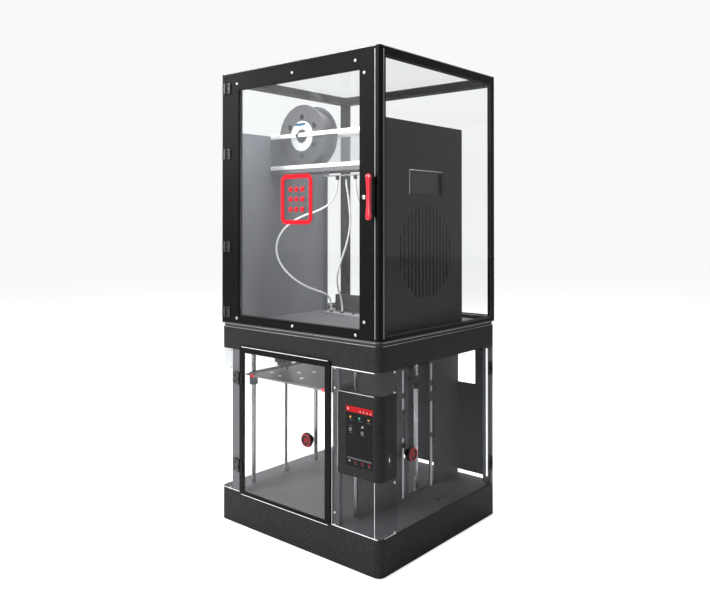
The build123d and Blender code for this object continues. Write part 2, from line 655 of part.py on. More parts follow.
with BuildPart() as rod_plates:
    half = 2 * GANTRY_ROD_RADIUS
    for x, inward in zip(GANTRY_COLUMNS, (1, -1)):
        outer = x - inward * (GANTRY_ROD_X - WALL - SEAM)
        bar(sorted((outer, outer + inward * ROD_PLATE_WIDTH)), (WALL + SEAM, BODY_DEPTH - WALL - SEAM),
            (WINDOW_TOP, WINDOW_TOP + ROD_PLATE))
    by_x = rod_plates.edges().filter_by(Axis.Z).group_by(Axis.X)
    fillet(by_x[0] + by_x[-1], CORNER_RADIUS - WALL - SEAM)
    for x, belt_x, inward in zip(GANTRY_COLUMNS, BELT_COLUMNS, (1, -1)):
        for y in (FRONT_SEAT_Y, REAR_SEAT_Y):
            bar((x - half, x + half), (y, y + ROD_SEAT_DEPTH), (WINDOW_TOP, GANTRY_Z + half))
        ear = belt_x + inward * (BELT_WIDTH + EDGE)
        for y in (IDLER_Y, DRIVE_SHAFT_Y):
            bar(sorted((ear, ear + inward * SHAFT_EAR)), (y - SHAFT_EAR_HALF, y + SHAFT_EAR_HALF),
                (WINDOW_TOP, GANTRY_Z + SHAFT_EAR_HALF))
        pin = sorted((ear, belt_x - inward * BELT_WIDTH / 2))
        rod(pin[0], IDLER_Y, GANTRY_Z, PULLEY_RADIUS - RUN_FIT, pin[1] - pin[0], "X")
        rod(min(ear, ear + inward * SHAFT_EAR), DRIVE_SHAFT_Y, GANTRY_Z, DRIVE_SHAFT_RADIUS + RUN_FIT,
            SHAFT_EAR, "X", Mode.SUBTRACT)
        rod(x, GANTRY_ROD_START, GANTRY_Z, GANTRY_ROD_RADIUS, GANTRY_ROD_LENGTH, "Y", Mode.SUBTRACT)
    for x in LIFT_COLUMNS:
        rod(x, LIFT_SCREW_Y, WINDOW_TOP, JOURNAL_RADIUS + RUN_FIT, ROD_PLATE, mode=Mode.SUBTRACT)
save(rod_plates, "rod_plates")

# ---------------------------------------------------------------- bed lift: motors, screws, bed
MOTOR_TOP = PLINTH_TOP - DECK_THICKNESS
COUPLING_BASE = MOTOR_TOP + MOTOR_BOSS_HEIGHT + EDGE
DRIVE_MOTOR_X = BELT_COLUMNS[1] + 2 * PULLEY_FLANGE_RADIUS


def motor_outline(plane):
    """Sketch the square, corner-cut outline of a stepper motor on a plane."""
    with BuildSketch(plane) as outline:
        Rectangle(MOTOR_SIZE, MOTOR_SIZE)
        chamfer(outline.vertices(), 2 * EDGE)
    return outline.sketch


with BuildPart() as axis_motors:
    for x in LIFT_COLUMNS:
        seat = Plane((LEFT + x, FRONT + LIFT_SCREW_Y, MOTOR_TOP))
        extrude(motor_outline(seat), amount=-MOTOR_LENGTH)
        rod(x, LIFT_SCREW_Y, MOTOR_TOP, MOTOR_BOSS_RADIUS, MOTOR_BOSS_HEIGHT)
        rod(x, LIFT_SCREW_Y, MOTOR_TOP + MOTOR_BOSS_HEIGHT - SHAFT_SEAT - SEAM, SHAFT_RADIUS + RUN_FIT,
            SHAFT_SEAT + SEAM, mode=Mode.SUBTRACT)
    face = Plane(origin=(LEFT + DRIVE_MOTOR_X, FRONT + DRIVE_SHAFT_Y, GANTRY_Z), x_dir=(0, 1, 0),
                 z_dir=(1, 0, 0))
    extrude(motor_outline(face), amount=MOTOR_LENGTH)
    rod(DRIVE_MOTOR_X - MOTOR_BOSS_HEIGHT, DRIVE_SHAFT_Y, GANTRY_Z, MOTOR_BOSS_RADIUS, MOTOR_BOSS_HEIGHT, "X")
    rod(DRIVE_MOTOR_X - MOTOR_BOSS_HEIGHT, DRIVE_SHAFT_Y, GANTRY_Z, SHAFT_RADIUS + RUN_FIT,
        SHAFT_SEAT + SEAM, "X", Mode.SUBTRACT)
save(axis_motors, "axis_motors")

for x, name in zip(LIFT_COLUMNS, ("lead_screw_left", "lead_screw_right")):
    with BuildPart() as lead_screw:
        shaft_base = MOTOR_TOP + MOTOR_BOSS_HEIGHT - SHAFT_SEAT
        rod(x, LIFT_SCREW_Y, shaft_base, SHAFT_RADIUS, COUPLING_BASE - shaft_base)
        rod(x, LIFT_SCREW_Y, COUPLING_BASE, COUPLING_RADIUS, COUPLING_HEIGHT)
        rod(x, LIFT_SCREW_Y, COUPLING_BASE + COUPLING_HEIGHT, SCREW_RADIUS,
            WINDOW_TOP - SEAM - COUPLING_BASE - COUPLING_HEIGHT)
        rod(x, LIFT_SCREW_Y, WINDOW_TOP - SEAM, JOURNAL_RADIUS, ROD_PLATE + SEAM)
        chamfer(lead_screw.edges().filter_by(GeomType.CIRCLE).filter_by(
            lambda edge: abs(edge.radius - COUPLING_RADIUS) < SEAM), EDGE)
    save(lead_screw, name)

BED_SPAN_X = (BED_CENTRE_X - BED_WIDTH / 2, BED_CENTRE_X + BED_WIDTH / 2)
BED_SPAN_Y = (BED_FRONT, BED_FRONT + BED_DEPTH)
with BuildPart() as bed_plate:
    underside = Plane((LEFT + BED_CENTRE_X, FRONT + sum(BED_SPAN_Y) / 2, BED_TOP - BED_THICKNESS))
    with BuildSketch(underside):
        RectangleRounded(BED_WIDTH, BED_DEPTH, BED_RADIUS)
    extrude(amount=BED_THICKNESS)
    chamfer(bed_plate.faces().sort_by(Axis.Z)[-1].edges(), EDGE / 2)
save(bed_plate, "bed_plate")

with BuildPart() as bed_carriage:
    bar(LIFT_COLUMNS, (BED_FRONT + SHEET_INSET, BED_FRONT + BED_DEPTH - SHEET_INSET),
        (CARRIAGE_TOP - CARRIAGE_SHEET, CARRIAGE_TOP))
    for x in LIFT_COLUMNS:
        bar((x - LIFT_BEARING_RADIUS, x + LIFT_BEARING_RADIUS), (LIFT_FRONT_Y, LIFT_REAR_Y),
            (CARRIAGE_TOP - CARRIAGE_THICKNESS, CARRIAGE_TOP))
        rod(x, LIFT_SCREW_Y, CARRIAGE_TOP - NUT_HEIGHT, NUT_RADIUS, NUT_HEIGHT)
        for y in (LIFT_FRONT_Y, LIFT_REAR_Y):
            rod(x, y, CARRIAGE_TOP - LIFT_BEARING_HEIGHT, LIFT_BEARING_RADIUS, LIFT_BEARING_HEIGHT)
    for x in (BED_SPAN_X[0] + SHEET_INSET, BED_SPAN_X[1] - SHEET_INSET):
        for y in (BED_SPAN_Y[0] + 2 * SHEET_INSET, BED_SPAN_Y[1] - 2 * SHEET_INSET):
            rod(x, y, CARRIAGE_TOP, STANDOFF_RADIUS, BED_STANDOFF)
    for x in LIFT_COLUMNS:
        rod(x, LIFT_SCREW_Y, CARRIAGE_TOP - NUT_HEIGHT, SCREW_RADIUS + RUN_FIT, NUT_HEIGHT,
            mode=Mode.SUBTRACT)
        for y in (LIFT_FRONT_Y, LIFT_REAR_Y):
            rod(x, y, CARRIAGE_TOP - LIFT_BEARING_HEIGHT, LIFT_ROD_RADIUS + RUN_FIT, LIFT_BEARING_HEIGHT,
                mode=Mode.SUBTRACT)
save(bed_carriage, "bed_carriage")

with BuildPart() as bed_clips:
    for x, hand_x in zip(BED_SPAN_X, (1, -1)):
        for y, hand_y in zip(BED_SPAN_Y, (1, -1)):
            bar(sorted((x - hand_x * CLIP_LIP, x + hand_x * CLIP_SIZE)),
                sorted((y - hand_y * CLIP_LIP, y + hand_y * CLIP_SIZE)),
                (BED_TOP - BED_THICKNESS - CLIP_LIP, BED_TOP + CLIP_LIP / 2))
    bar(BED_SPAN_X, BED_SPAN_Y, (BED_TOP - BED_THICKNESS, BED_TOP), Mode.SUBTRACT)
save(bed_clips, "bed_clips")

# ---------------------------------------------------------------- gantry, belts and print head
BLOCK_TOP = GANTRY_Z + END_BLOCK_HEIGHT / 2
CROSS_BELT_Y = HEAD_Y + (HEAD_DEPTH + MOTOR_SIZE) / 2 + EDGE
CROSS_MOTOR_X = GANTRY_COLUMNS[1] - (END_BLOCK_WIDTH + MOTOR_SIZE) / 2 - SEAM
CROSS_IDLER_X = GANTRY_COLUMNS[0] + END_BLOCK_WIDTH / 2
CROSS_BELT_Z = BLOCK_TOP + EDGE


def belt_loop(plane, length):
    """Add a flat belt loop whose first pulley is at the plane's origin, along its X."""
    with BuildSketch(plane) as loop:
        with Locations((length / 2, 0)):
            SlotCenterToCenter(length, 2 * BELT_REACH)
            SlotCenterToCenter(length, 2 * PULLEY_RADIUS, mode=Mode.SUBTRACT)
    extrude(loop.sketch, amount=BELT_WIDTH)


with BuildPart() as y_belts:
    for x in BELT_COLUMNS:
        belt_loop(Plane(origin=(LEFT + x - BELT_WIDTH / 2, FRONT + IDLER_Y, GANTRY_Z), x_dir=(0, 1, 0),
                        z_dir=(1, 0, 0)), DRIVE_SHAFT_Y - IDLER_Y)
save(y_belts, "y_belts")

with BuildPart() as y_drive_shaft:
    shaft_start = BELT_COLUMNS[0] - BELT_WIDTH / 2 - PULLEY_FLANGE - SEAM
    rod(shaft_start, DRIVE_SHAFT_Y, GANTRY_Z, DRIVE_SHAFT_RADIUS,
        BELT_COLUMNS[1] + BELT_WIDTH / 2 + PULLEY_FLANGE + SEAM - shaft_start, "X")
    for x in BELT_COLUMNS:
        low = x - BELT_WIDTH / 2 - SEAM
        rod(low, DRIVE_SHAFT_Y, GANTRY_Z, PULLEY_RADIUS - RUN_FIT, BELT_WIDTH + 2 * SEAM, "X")
        for flange in (low - PULLEY_FLANGE, low + BELT_WIDTH + 2 * SEAM):
            rod(flange, DRIVE_SHAFT_Y, GANTRY_Z, PULLEY_FLANGE_RADIUS, PULLEY_FLANGE, "X")
    rod(BELT_COLUMNS[1], DRIVE_SHAFT_Y, GANTRY_Z, SHAFT_RADIUS,
        DRIVE_MOTOR_X - MOTOR_BOSS_HEIGHT + SHAFT_SEAT - BELT_COLUMNS[1], "X")
save(y_drive_shaft, "y_drive_shaft")

with BuildPart() as gantry_beam:
    for x, belt_x, inward in zip(GANTRY_COLUMNS, BELT_COLUMNS, (1, -1)):
        bar((x - END_BLOCK_WIDTH / 2, x + END_BLOCK_WIDTH / 2),
            (HEAD_Y - END_BLOCK_DEPTH / 2, HEAD_Y + END_BLOCK_DEPTH / 2),
            (GANTRY_Z - END_BLOCK_HEIGHT / 2, BLOCK_TOP))
        lower_run = (GANTRY_Z - BELT_REACH, GANTRY_Z - PULLEY_RADIUS)
        bar(sorted((belt_x - inward * BELT_WIDTH / 2, x)),
            (HEAD_Y - CLAMP_WIDTH / 2, HEAD_Y + CLAMP_WIDTH / 2),
            (lower_run[0] - CLAMP_WALL, lower_run[1] + CLAMP_WALL))
        bar(sorted((belt_x - inward * (BELT_WIDTH / 2 + EDGE), belt_x + inward * (BELT_WIDTH / 2 + SEAM))),
            (HEAD_Y - CLAMP_WIDTH / 2, HEAD_Y + CLAMP_WIDTH / 2),
            (lower_run[0] - SEAM, lower_run[1] + SEAM), Mode.SUBTRACT)
    for y in (HEAD_Y - BEAM_ROD_SPREAD, HEAD_Y + BEAM_ROD_SPREAD):
        rod(GANTRY_COLUMNS[0], y, GANTRY_Z, BEAM_ROD_RADIUS, GANTRY_COLUMNS[1] - GANTRY_COLUMNS[0], "X")
    bar((CROSS_MOTOR_X - MOTOR_SIZE / 2, GANTRY_COLUMNS[1] + END_BLOCK_WIDTH / 2),
        (HEAD_Y + END_BLOCK_DEPTH / 2 - CLAMP_WALL, CROSS_BELT_Y + MOTOR_SIZE / 2),
        (BLOCK_TOP - CLAMP_WALL, BLOCK_TOP))
    bar((GANTRY_COLUMNS[0] - END_BLOCK_WIDTH / 2, CROSS_IDLER_X + PULLEY_FLANGE_RADIUS),
        (HEAD_Y + END_BLOCK_DEPTH / 2 - CLAMP_WALL, CROSS_BELT_Y + PULLEY_FLANGE_RADIUS),
        (BLOCK_TOP - CLAMP_WALL, BLOCK_TOP))
    rod(CROSS_IDLER_X, CROSS_BELT_Y, BLOCK_TOP, PULLEY_RADIUS - RUN_FIT, BELT_WIDTH + 2 * EDGE)
    rod(CROSS_MOTOR_X, CROSS_BELT_Y, BLOCK_TOP - CLAMP_WALL, PULLEY_RADIUS + SEAM, CLAMP_WALL,
        mode=Mode.SUBTRACT)
    for x in GANTRY_COLUMNS:
        rod(x, HEAD_Y - CROSS_BELT_Y, GANTRY_Z, GANTRY_ROD_RADIUS + RUN_FIT, BODY_DEPTH, "Y", Mode.SUBTRACT)
save(gantry_beam, "gantry_beam")

with BuildPart() as x_drive:
    extrude(motor_outline(Plane((LEFT + CROSS_MOTOR_X, FRONT + CROSS_BELT_Y, BLOCK_TOP - CLAMP_WALL))),
            amount=-CROSS_MOTOR_LENGTH)
    rod(CROSS_MOTOR_X, CROSS_BELT_Y, BLOCK_TOP - CLAMP_WALL, PULLEY_RADIUS - RUN_FIT,
        CLAMP_WALL + BELT_WIDTH + 2 * EDGE)
    belt_loop(Plane((LEFT + CROSS_IDLER_X, FRONT + CROSS_BELT_Y, CROSS_BELT_Z)),
              CROSS_MOTOR_X - CROSS_IDLER_X)
save(x_drive, "x_drive")

HEAD_TOP_Z = GANTRY_Z + HEAD_BLOCK_HEIGHT / 2
HEAD_BASE_Z = GANTRY_Z - HEAD_BLOCK_HEIGHT / 2
with BuildPart() as print_head:
    bar((HEAD_X - COWL_WIDTH / 2, HEAD_X + COWL_WIDTH / 2),
        (HEAD_Y - COWL_DEPTH / 2, HEAD_Y + COWL_DEPTH / 2), (COWL_BOTTOM, HEAD_BASE_Z))
    fillet(print_head.edges().filter_by(Axis.Z), COWL_RADIUS)
    chamfer(print_head.faces().sort_by(Axis.Z)[0].edges(), COWL_RADIUS / 2)
    fan_z = (COWL_BOTTOM + HEAD_BASE_Z) / 2
    rod(HEAD_X, HEAD_Y - COWL_DEPTH / 2, fan_z, FAN_RADIUS, FAN_DEPTH, "Y", Mode.SUBTRACT)
    rod(HEAD_X, HEAD_Y - COWL_DEPTH / 2, fan_z, FAN_HUB_RADIUS, FAN_DEPTH, "Y")
    bar((HEAD_X - HEAD_WIDTH / 2, HEAD_X + HEAD_WIDTH / 2),
        (HEAD_Y - HEAD_DEPTH / 2, HEAD_Y + HEAD_DEPTH / 2), (HEAD_BASE_Z, HEAD_TOP_Z))
    near_run = (CROSS_BELT_Y - BELT_REACH, CROSS_BELT_Y - PULLEY_RADIUS)
    bar((HEAD_X - CLAMP_WIDTH / 2, HEAD_X + CLAMP_WIDTH / 2),
        (HEAD_Y + HEAD_DEPTH / 2 - CLAMP_WALL, near_run[1] + CLAMP_WALL),
        (HEAD_TOP_Z - CLAMP_WALL, CROSS_BELT_Z + BELT_WIDTH + EDGE))
    bar((HEAD_X - CLAMP_WIDTH / 2, HEAD_X + CLAMP_WIDTH / 2), (near_run[0] - SEAM, near_run[1] + SEAM),
        (CROSS_BELT_Z - SEAM, CROSS_BELT_Z + BELT_WIDTH + EDGE), Mode.SUBTRACT)
    for y in (HEAD_Y - BEAM_ROD_SPREAD, HEAD_Y + BEAM_ROD_SPREAD):
        rod(HEAD_X - HEAD_WIDTH / 2, y, GANTRY_Z, BEAM_ROD_RADIUS + RUN_FIT, HEAD_WIDTH, "X", Mode.SUBTRACT)
save(print_head, "print_head")

with BuildPart() as hot_ends:
    for x in (HEAD_X - NOZZLE_SPREAD / 2, HEAD_X + NOZZLE_SPREAD / 2):
        bar((x - HEATER_WIDTH / 2, x + HEATER_WIDTH / 2),
            (HEAD_Y - HEATER_DEPTH / 2, HEAD_Y + HEATER_DEPTH / 2),
            (COWL_BOTTOM - HEATER_HEIGHT, COWL_BOTTOM))
        cone_height = COWL_BOTTOM - HEATER_HEIGHT - BED_TOP - NOZZLE_GAP
        with Locations((LEFT + x, FRONT + HEAD_Y, BED_TOP + NOZZLE_GAP)):
            Cone(NOZZLE_TIP_RADIUS, NOZZLE_BASE_RADIUS, cone_height,
                 align=(Align.CENTER, Align.CENTER, Align.MIN))
save(hot_ends, "hot_ends")

# ---------------------------------------------------------------- electronics in the plinth
PAN_TOP = FOOT_HEIGHT + SHEET
BOARD_TOP = PAN_TOP + BOARD_STANDOFF + BOARD_THICKNESS
with BuildPart() as power_supply:
    supply_rear = BODY_DEPTH - INLET_MODULE_DEPTH - SUPPLY_GAP
    bar((SUPPLY_X, SUPPLY_X + SUPPLY_LENGTH), (supply_rear - SUPPLY_DEPTH, supply_rear),
        (PAN_TOP, PAN_TOP + SUPPLY_HEIGHT))
    chamfer(power_supply.edges().filter_by(Axis.Z), EDGE)
save(power_supply, "power_supply")

with BuildPart() as control_board:
    bar((BOARD_X, BOARD_X + BOARD_LENGTH), (BOARD_Y, BOARD_Y + BOARD_DEPTH),
        (BOARD_TOP - BOARD_THICKNESS, BOARD_TOP))
    for x in (BOARD_X + BOARD_STANDOFF_INSET, BOARD_X + BOARD_LENGTH - BOARD_STANDOFF_INSET):
        for y in (BOARD_Y + BOARD_STANDOFF_INSET, BOARD_Y + BOARD_DEPTH - BOARD_STANDOFF_INSET):
            rod(x, y, PAN_TOP, BOARD_STANDOFF_RADIUS, BOARD_STANDOFF)
    first_driver = BOARD_X + (BOARD_LENGTH - (DRIVER_COUNT - 1) * DRIVER_PITCH - DRIVER_SIDE) / 2
    for i in range(DRIVER_COUNT):
        x = first_driver + i * DRIVER_PITCH
        bar((x, x + DRIVER_SIDE), (BOARD_Y + BOARD_DEPTH / 2, BOARD_Y + BOARD_DEPTH / 2 + DRIVER_SIDE),
            (BOARD_TOP, BOARD_TOP + DRIVER_HEIGHT))
save(control_board, "control_board")

MODULE_X = INLET_MODULE_X + INLET_MODULE_WIDTH / 2
SOCKET_Z = INLET_MODULE_Z - SOCKET_DROP
SWITCH_Z = INLET_MODULE_Z + SWITCH_RISE
SWITCH_PIN_REACH = SWITCH_WIDTH / 2 + SWITCH_PIN_LENGTH
with BuildPart() as power_inlet:
    half_width = INLET_MODULE_WIDTH / 2 - SEAM
    half_height = INLET_MODULE_HEIGHT / 2 - SEAM
    bar((MODULE_X - half_width, MODULE_X + half_width), (BODY_DEPTH - INLET_MODULE_DEPTH, BODY_DEPTH - EDGE),
        (INLET_MODULE_Z - half_height, INLET_MODULE_Z + half_height))
    fillet(power_inlet.edges().filter_by(Axis.Y), 2 * EDGE)
    bar((MODULE_X - SOCKET_WIDTH / 2, MODULE_X + SOCKET_WIDTH / 2),
        (BODY_DEPTH - INLET_MODULE_DEPTH + 2 * SHEET, BODY_DEPTH),
        (SOCKET_Z - SOCKET_HEIGHT / 2, SOCKET_Z + SOCKET_HEIGHT / 2), Mode.SUBTRACT)
    bar((MODULE_X - SWITCH_WIDTH / 2 - SEAM, MODULE_X + SWITCH_WIDTH / 2 + SEAM),
        (BODY_DEPTH - 2 * SWITCH_PIVOT_DEPTH, BODY_DEPTH),
        (SWITCH_Z - SWITCH_HALF - SWITCH_CLEAR, SWITCH_Z + SWITCH_HALF + SWITCH_CLEAR), Mode.SUBTRACT)
    for side in (-1, 0, 1):
        x = MODULE_X + side * PRONG_SPREAD
        z = SOCKET_Z + PRONG_DROP * (1 - 2 * abs(side))
        bar((x - PRONG_WIDTH / 2, x + PRONG_WIDTH / 2),
            (BODY_DEPTH - INLET_MODULE_DEPTH + SHEET, BODY_DEPTH - 3 * SHEET),
            (z - PRONG_HEIGHT / 2, z + PRONG_HEIGHT / 2))
    rod(MODULE_X - SWITCH_PIN_REACH - SEAM, BODY_DEPTH - SWITCH_PIVOT_DEPTH, SWITCH_Z,
        SWITCH_PIN_RADIUS + RUN_FIT, 2 * (SWITCH_PIN_REACH + SEAM), "X", Mode.SUBTRACT)
save(power_inlet, "power_inlet")

with BuildPart() as power_switch:
    tilt = radians(SWITCH_TILT)
    pivot = Plane(origin=(LEFT + MODULE_X - SWITCH_WIDTH / 2, REAR - SWITCH_PIVOT_DEPTH, SWITCH_Z),
                  x_dir=(0, cos(tilt), sin(tilt)), z_dir=(1, 0, 0))
    with BuildSketch(pivot):
        with BuildLine():
            Polyline((-SWITCH_TAIL, -SWITCH_HALF + EDGE), (SWITCH_HALF, -SWITCH_HALF),
                     (SWITCH_HALF - EDGE, 0), (SWITCH_HALF, SWITCH_HALF),
                     (-SWITCH_TAIL, SWITCH_HALF - EDGE), close=True)
        make_face()
    extrude(amount=SWITCH_WIDTH)
    rod(MODULE_X - SWITCH_PIN_REACH, BODY_DEPTH - SWITCH_PIVOT_DEPTH, SWITCH_Z, SWITCH_PIN_RADIUS,
        2 * SWITCH_PIN_REACH, "X")
save(power_switch, "power_switch")


# ================================================================ cabinet
with BuildPart() as cabinet_seal:
    wall_ring(HEAD_TOP, SEAL_HEIGHT, 2 * WALL, inset=WALL)
save(cabinet_seal, "cabinet_seal")

with BuildPart() as cabinet_floor:
    with BuildSketch(footprint(CABINET_BASE)):
        RectangleRounded(BODY_WIDTH, BODY_DEPTH, CABINET_RADIUS)
    extrude(amount=WALL)
save(cabinet_floor, "cabinet_floor")

with BuildPart() as cabinet_posts:
    post_span = (FLOOR_TOP, CABINET_TOP)
    for x_span in ((0, LEFT_STILE), (BODY_WIDTH - RIGHT_STILE, BODY_WIDTH)):
        bar(x_span, (0, POST_SIDE), post_span)
        bar(x_span, (BODY_DEPTH - POST_SIDE, BODY_DEPTH), post_span)
    uprights = cabinet_posts.edges().filter_by(Axis.Z)
    for row in (uprights.group_by(Axis.Y)[0], uprights.group_by(Axis.Y)[-1]):
        fillet([row.sort_by(Axis.X)[0], row.sort_by(Axis.X)[-1]], CABINET_RADIUS)
    for x_span in ((0, GROOVE / 2), (BODY_WIDTH - GROOVE / 2, BODY_WIDTH)):
        bar(x_span, (POST_SIDE - 2 * GROOVE, POST_SIDE - GROOVE), post_span, Mode.SUBTRACT)
save(cabinet_posts, "cabinet_posts")

STILES = (LEFT_STILE + SEAM, BODY_WIDTH - RIGHT_STILE - SEAM)
SIDE_RUN = (POST_SIDE + SEAM, BODY_DEPTH - POST_SIDE - SEAM)
SILL_SPAN = (FLOOR_TOP, FLOOR_TOP + CABINET_SILL - WALL)
HEAD_SPAN = (CABINET_TOP - CABINET_HEAD, CABINET_TOP)
ROOF_SPAN = (CABINET_TOP - PANEL - GROOVE, CABINET_TOP - GROOVE)
with BuildPart() as cabinet_rails:
    for x_span in ((0, POST_SIDE), (BODY_WIDTH - POST_SIDE, BODY_WIDTH)):
        bar(x_span, SIDE_RUN, SILL_SPAN)
        bar(x_span, SIDE_RUN, HEAD_SPAN)
    bar(STILES, (BODY_DEPTH - POST_SIDE, BODY_DEPTH), SILL_SPAN)
    bar(STILES, (BODY_DEPTH - POST_SIDE, BODY_DEPTH), HEAD_SPAN)
    bar(STILES, (0, POST_SIDE), (CABINET_TOP - FRONT_HEAD, CABINET_TOP))
    bar((POST_SIDE - ROOF_LEDGE - SEAM, BODY_WIDTH - POST_SIDE + ROOF_LEDGE + SEAM),
        (POST_SIDE - ROOF_LEDGE - SEAM, BODY_DEPTH - POST_SIDE + ROOF_LEDGE + SEAM),
        (ROOF_SPAN[0], CABINET_TOP), Mode.SUBTRACT)
save(cabinet_rails, "cabinet_rails")

with BuildPart() as cabinet_panels:
    glass_span = (SILL_SPAN[1] + SEAM, HEAD_SPAN[0] - SEAM)
    for x_span in ((GROOVE, GROOVE + PANEL), (BODY_WIDTH - GROOVE - PANEL, BODY_WIDTH - GROOVE)):
        bar(x_span, SIDE_RUN, glass_span)
    bar(STILES, (BODY_DEPTH - GROOVE - PANEL, BODY_DEPTH - GROOVE), glass_span)
    bar(STILES, (POST_SIDE - ROOF_LEDGE, BODY_DEPTH - POST_SIDE + ROOF_LEDGE), ROOF_SPAN)
save(cabinet_panels, "cabinet_panels")


def side_plate(x, inward):
    """Add a flanged plate that stands on the cabinet floor and carries the spool rack."""
    plate = (FLOOR_TOP, CABINET_TOP - SIDE_PLATE_DROP)
    bar(sorted((x, x + inward * SHEET)), (SIDE_PLATE_FRONT, SIDE_PLATE_REAR), plate)
    for y_span in ((SIDE_PLATE_FRONT, SIDE_PLATE_FRONT + SHEET), (SIDE_PLATE_REAR - SHEET, SIDE_PLATE_REAR)):
        bar(sorted((x, x + inward * SIDE_FLANGE)), y_span, plate)


with BuildPart() as left_side_plate:
    side_plate(SIDE_PLATE_INSET, 1)
save(left_side_plate, "left_side_plate")

with BuildPart() as right_side_plate:
    plate_x = BODY_WIDTH - SIDE_PLATE_INSET
    side_plate(plate_x, -1)
    pocket_base = CABINET_TOP - POCKET_DROP
    bar((plate_x - POCKET_DEPTH - SHEET, plate_x), (POCKET_Y - SHEET, POCKET_Y + POCKET_WIDTH + SHEET),
        (pocket_base - SHEET, pocket_base + POCKET_HEIGHT + SHEET))
    bar((plate_x - POCKET_DEPTH, plate_x), (POCKET_Y, POCKET_Y + POCKET_WIDTH),
        (pocket_base, pocket_base + POCKET_HEIGHT), Mode.SUBTRACT)
    grille = Plane(origin=(LEFT + plate_x, FRONT + GRILLE_Y, CABINET_BASE + GRILLE_RISE), x_dir=(0, 1, 0),
                   z_dir=(1, 0, 0))
    with BuildSketch(grille):
        for step in range(-int(GRILLE_RADIUS // GRILLE_PITCH), int(GRILLE_RADIUS // GRILLE_PITCH) + 1):
            offset = step * GRILLE_PITCH
            height = 2 * sqrt(GRILLE_RADIUS ** 2 - offset ** 2)
            if height > 4 * GRILLE_SLOT:
                with Locations((offset, 0)):
                    SlotOverall(height, GRILLE_SLOT, rotation=90)
    extrude(amount=-SHEET, mode=Mode.SUBTRACT)
save(right_side_plate, "right_side_plate")

# ---------------------------------------------------------------- spool rack
RACK_RUN = (SIDE_PLATE_INSET + SHEET + SEAM, BODY_WIDTH - SIDE_PLATE_INSET - SHEET - SEAM)
RACK_FACES = ((RACK_FRONT, RACK_FRONT + PANEL, -1), (RACK_REAR, RACK_REAR + PANEL, 1))
RACK_RAIL_LEVELS = (RACK_BOTTOM, RACK_TOP - RACK_RAIL_HEIGHT)
TRAY_TOP = RACK_BOTTOM


def spindle_notches():
    """Cut the open notches that the spool spindle drops into."""
    rod(SPOOL_X, 0, SPOOL_Z, SPINDLE_RADIUS + RUN_FIT, BODY_DEPTH, "Y", Mode.SUBTRACT)
    bar((SPOOL_X - SPINDLE_RADIUS - RUN_FIT, SPOOL_X + SPINDLE_RADIUS + RUN_FIT), (0, BODY_DEPTH),
        (SPOOL_Z, RACK_TOP), Mode.SUBTRACT)


with BuildPart() as rack_tray:
    tray_depth = (RACK_FRONT - RACK_RAIL_THICKNESS - SEAM, RACK_REAR + PANEL + RACK_RAIL_THICKNESS + SEAM)
    bar(RACK_RUN, tray_depth, (TRAY_TOP - SHEET, TRAY_TOP))
    for y_span in ((tray_depth[0], tray_depth[0] + SHEET), (tray_depth[1] - SHEET, tray_depth[1])):
        bar(RACK_RUN, y_span, (TRAY_TOP - TRAY_DROP, TRAY_TOP))
save(rack_tray, "rack_tray")

with BuildPart() as rack_plates:
    for low, high, outward in RACK_FACES:
        bar(RACK_RUN, (low, high), (RACK_BOTTOM, RACK_TOP))
    spindle_notches()
save(rack_plates, "rack_plates")

with BuildPart() as rack_rails:
    for low, high, outward in RACK_FACES:
        face = low if outward < 0 else high
        for level in RACK_RAIL_LEVELS:
            bar(RACK_RUN, sorted((face + outward * SEAM, face + outward * (SEAM + RACK_RAIL_THICKNESS))),
                (level, level + RACK_RAIL_HEIGHT))
    chamfer(rack_rails.edges().filter_by(Axis.X), EDGE)
    spindle_notches()
save(rack_rails, "rack_rails")

HUB_RADIUS = SPOOL_BORE_RADIUS - 2 * RUN_FIT
with BuildPart() as spool_spindle:
    spindle_start = RACK_FRONT - RACK_RAIL_THICKNESS - 2 * EDGE
    rod(SPOOL_X, spindle_start, SPOOL_Z, SPINDLE_RADIUS,
        RACK_REAR + PANEL + RACK_RAIL_THICKNESS + 2 * EDGE - spindle_start, "Y")
    rod(SPOOL_X, SPOOL_Y - 2 * EDGE, SPOOL_Z, HUB_RADIUS, SPOOL_WIDTH + 3 * EDGE, "Y")
    chamfer(spool_spindle.edges().filter_by(GeomType.CIRCLE).filter_by(
        lambda edge: abs(edge.radius - HUB_RADIUS) < RUN_FIT), EDGE)
save(spool_spindle, "spool_spindle")

with BuildPart() as spool_reel:
    for start in (SPOOL_Y, SPOOL_Y + SPOOL_WIDTH - SPOOL_FLANGE):
        rod(SPOOL_X, start, SPOOL_Z, SPOOL_RADIUS, SPOOL_FLANGE, "Y")
    rod(SPOOL_X, SPOOL_Y, SPOOL_Z, SPOOL_CORE_RADIUS, SPOOL_WIDTH, "Y")
    chamfer(spool_reel.edges().filter_by(GeomType.CIRCLE).filter_by(
        lambda edge: abs(edge.radius - SPOOL_RADIUS) < SEAM), EDGE / 2)
    rod(SPOOL_X, SPOOL_Y, SPOOL_Z, SPOOL_BORE_RADIUS, SPOOL_WIDTH, "Y", Mode.SUBTRACT)
    near_face = Plane(origin=(LEFT + SPOOL_X, FRONT + SPOOL_Y, SPOOL_Z), x_dir=(1, 0, 0), z_dir=(0, -1, 0))
    with BuildSketch(near_face):
        with PolarLocations(SPOOL_WINDOW_ORBIT_RADIUS, SPOOL_WINDOW_COUNT,
                            start_angle=180 / SPOOL_WINDOW_COUNT):
            Circle(SPOOL_WINDOW_RADIUS)
    extrude(amount=-SPOOL_WIDTH, mode=Mode.SUBTRACT)
save(spool_reel, "spool_reel")

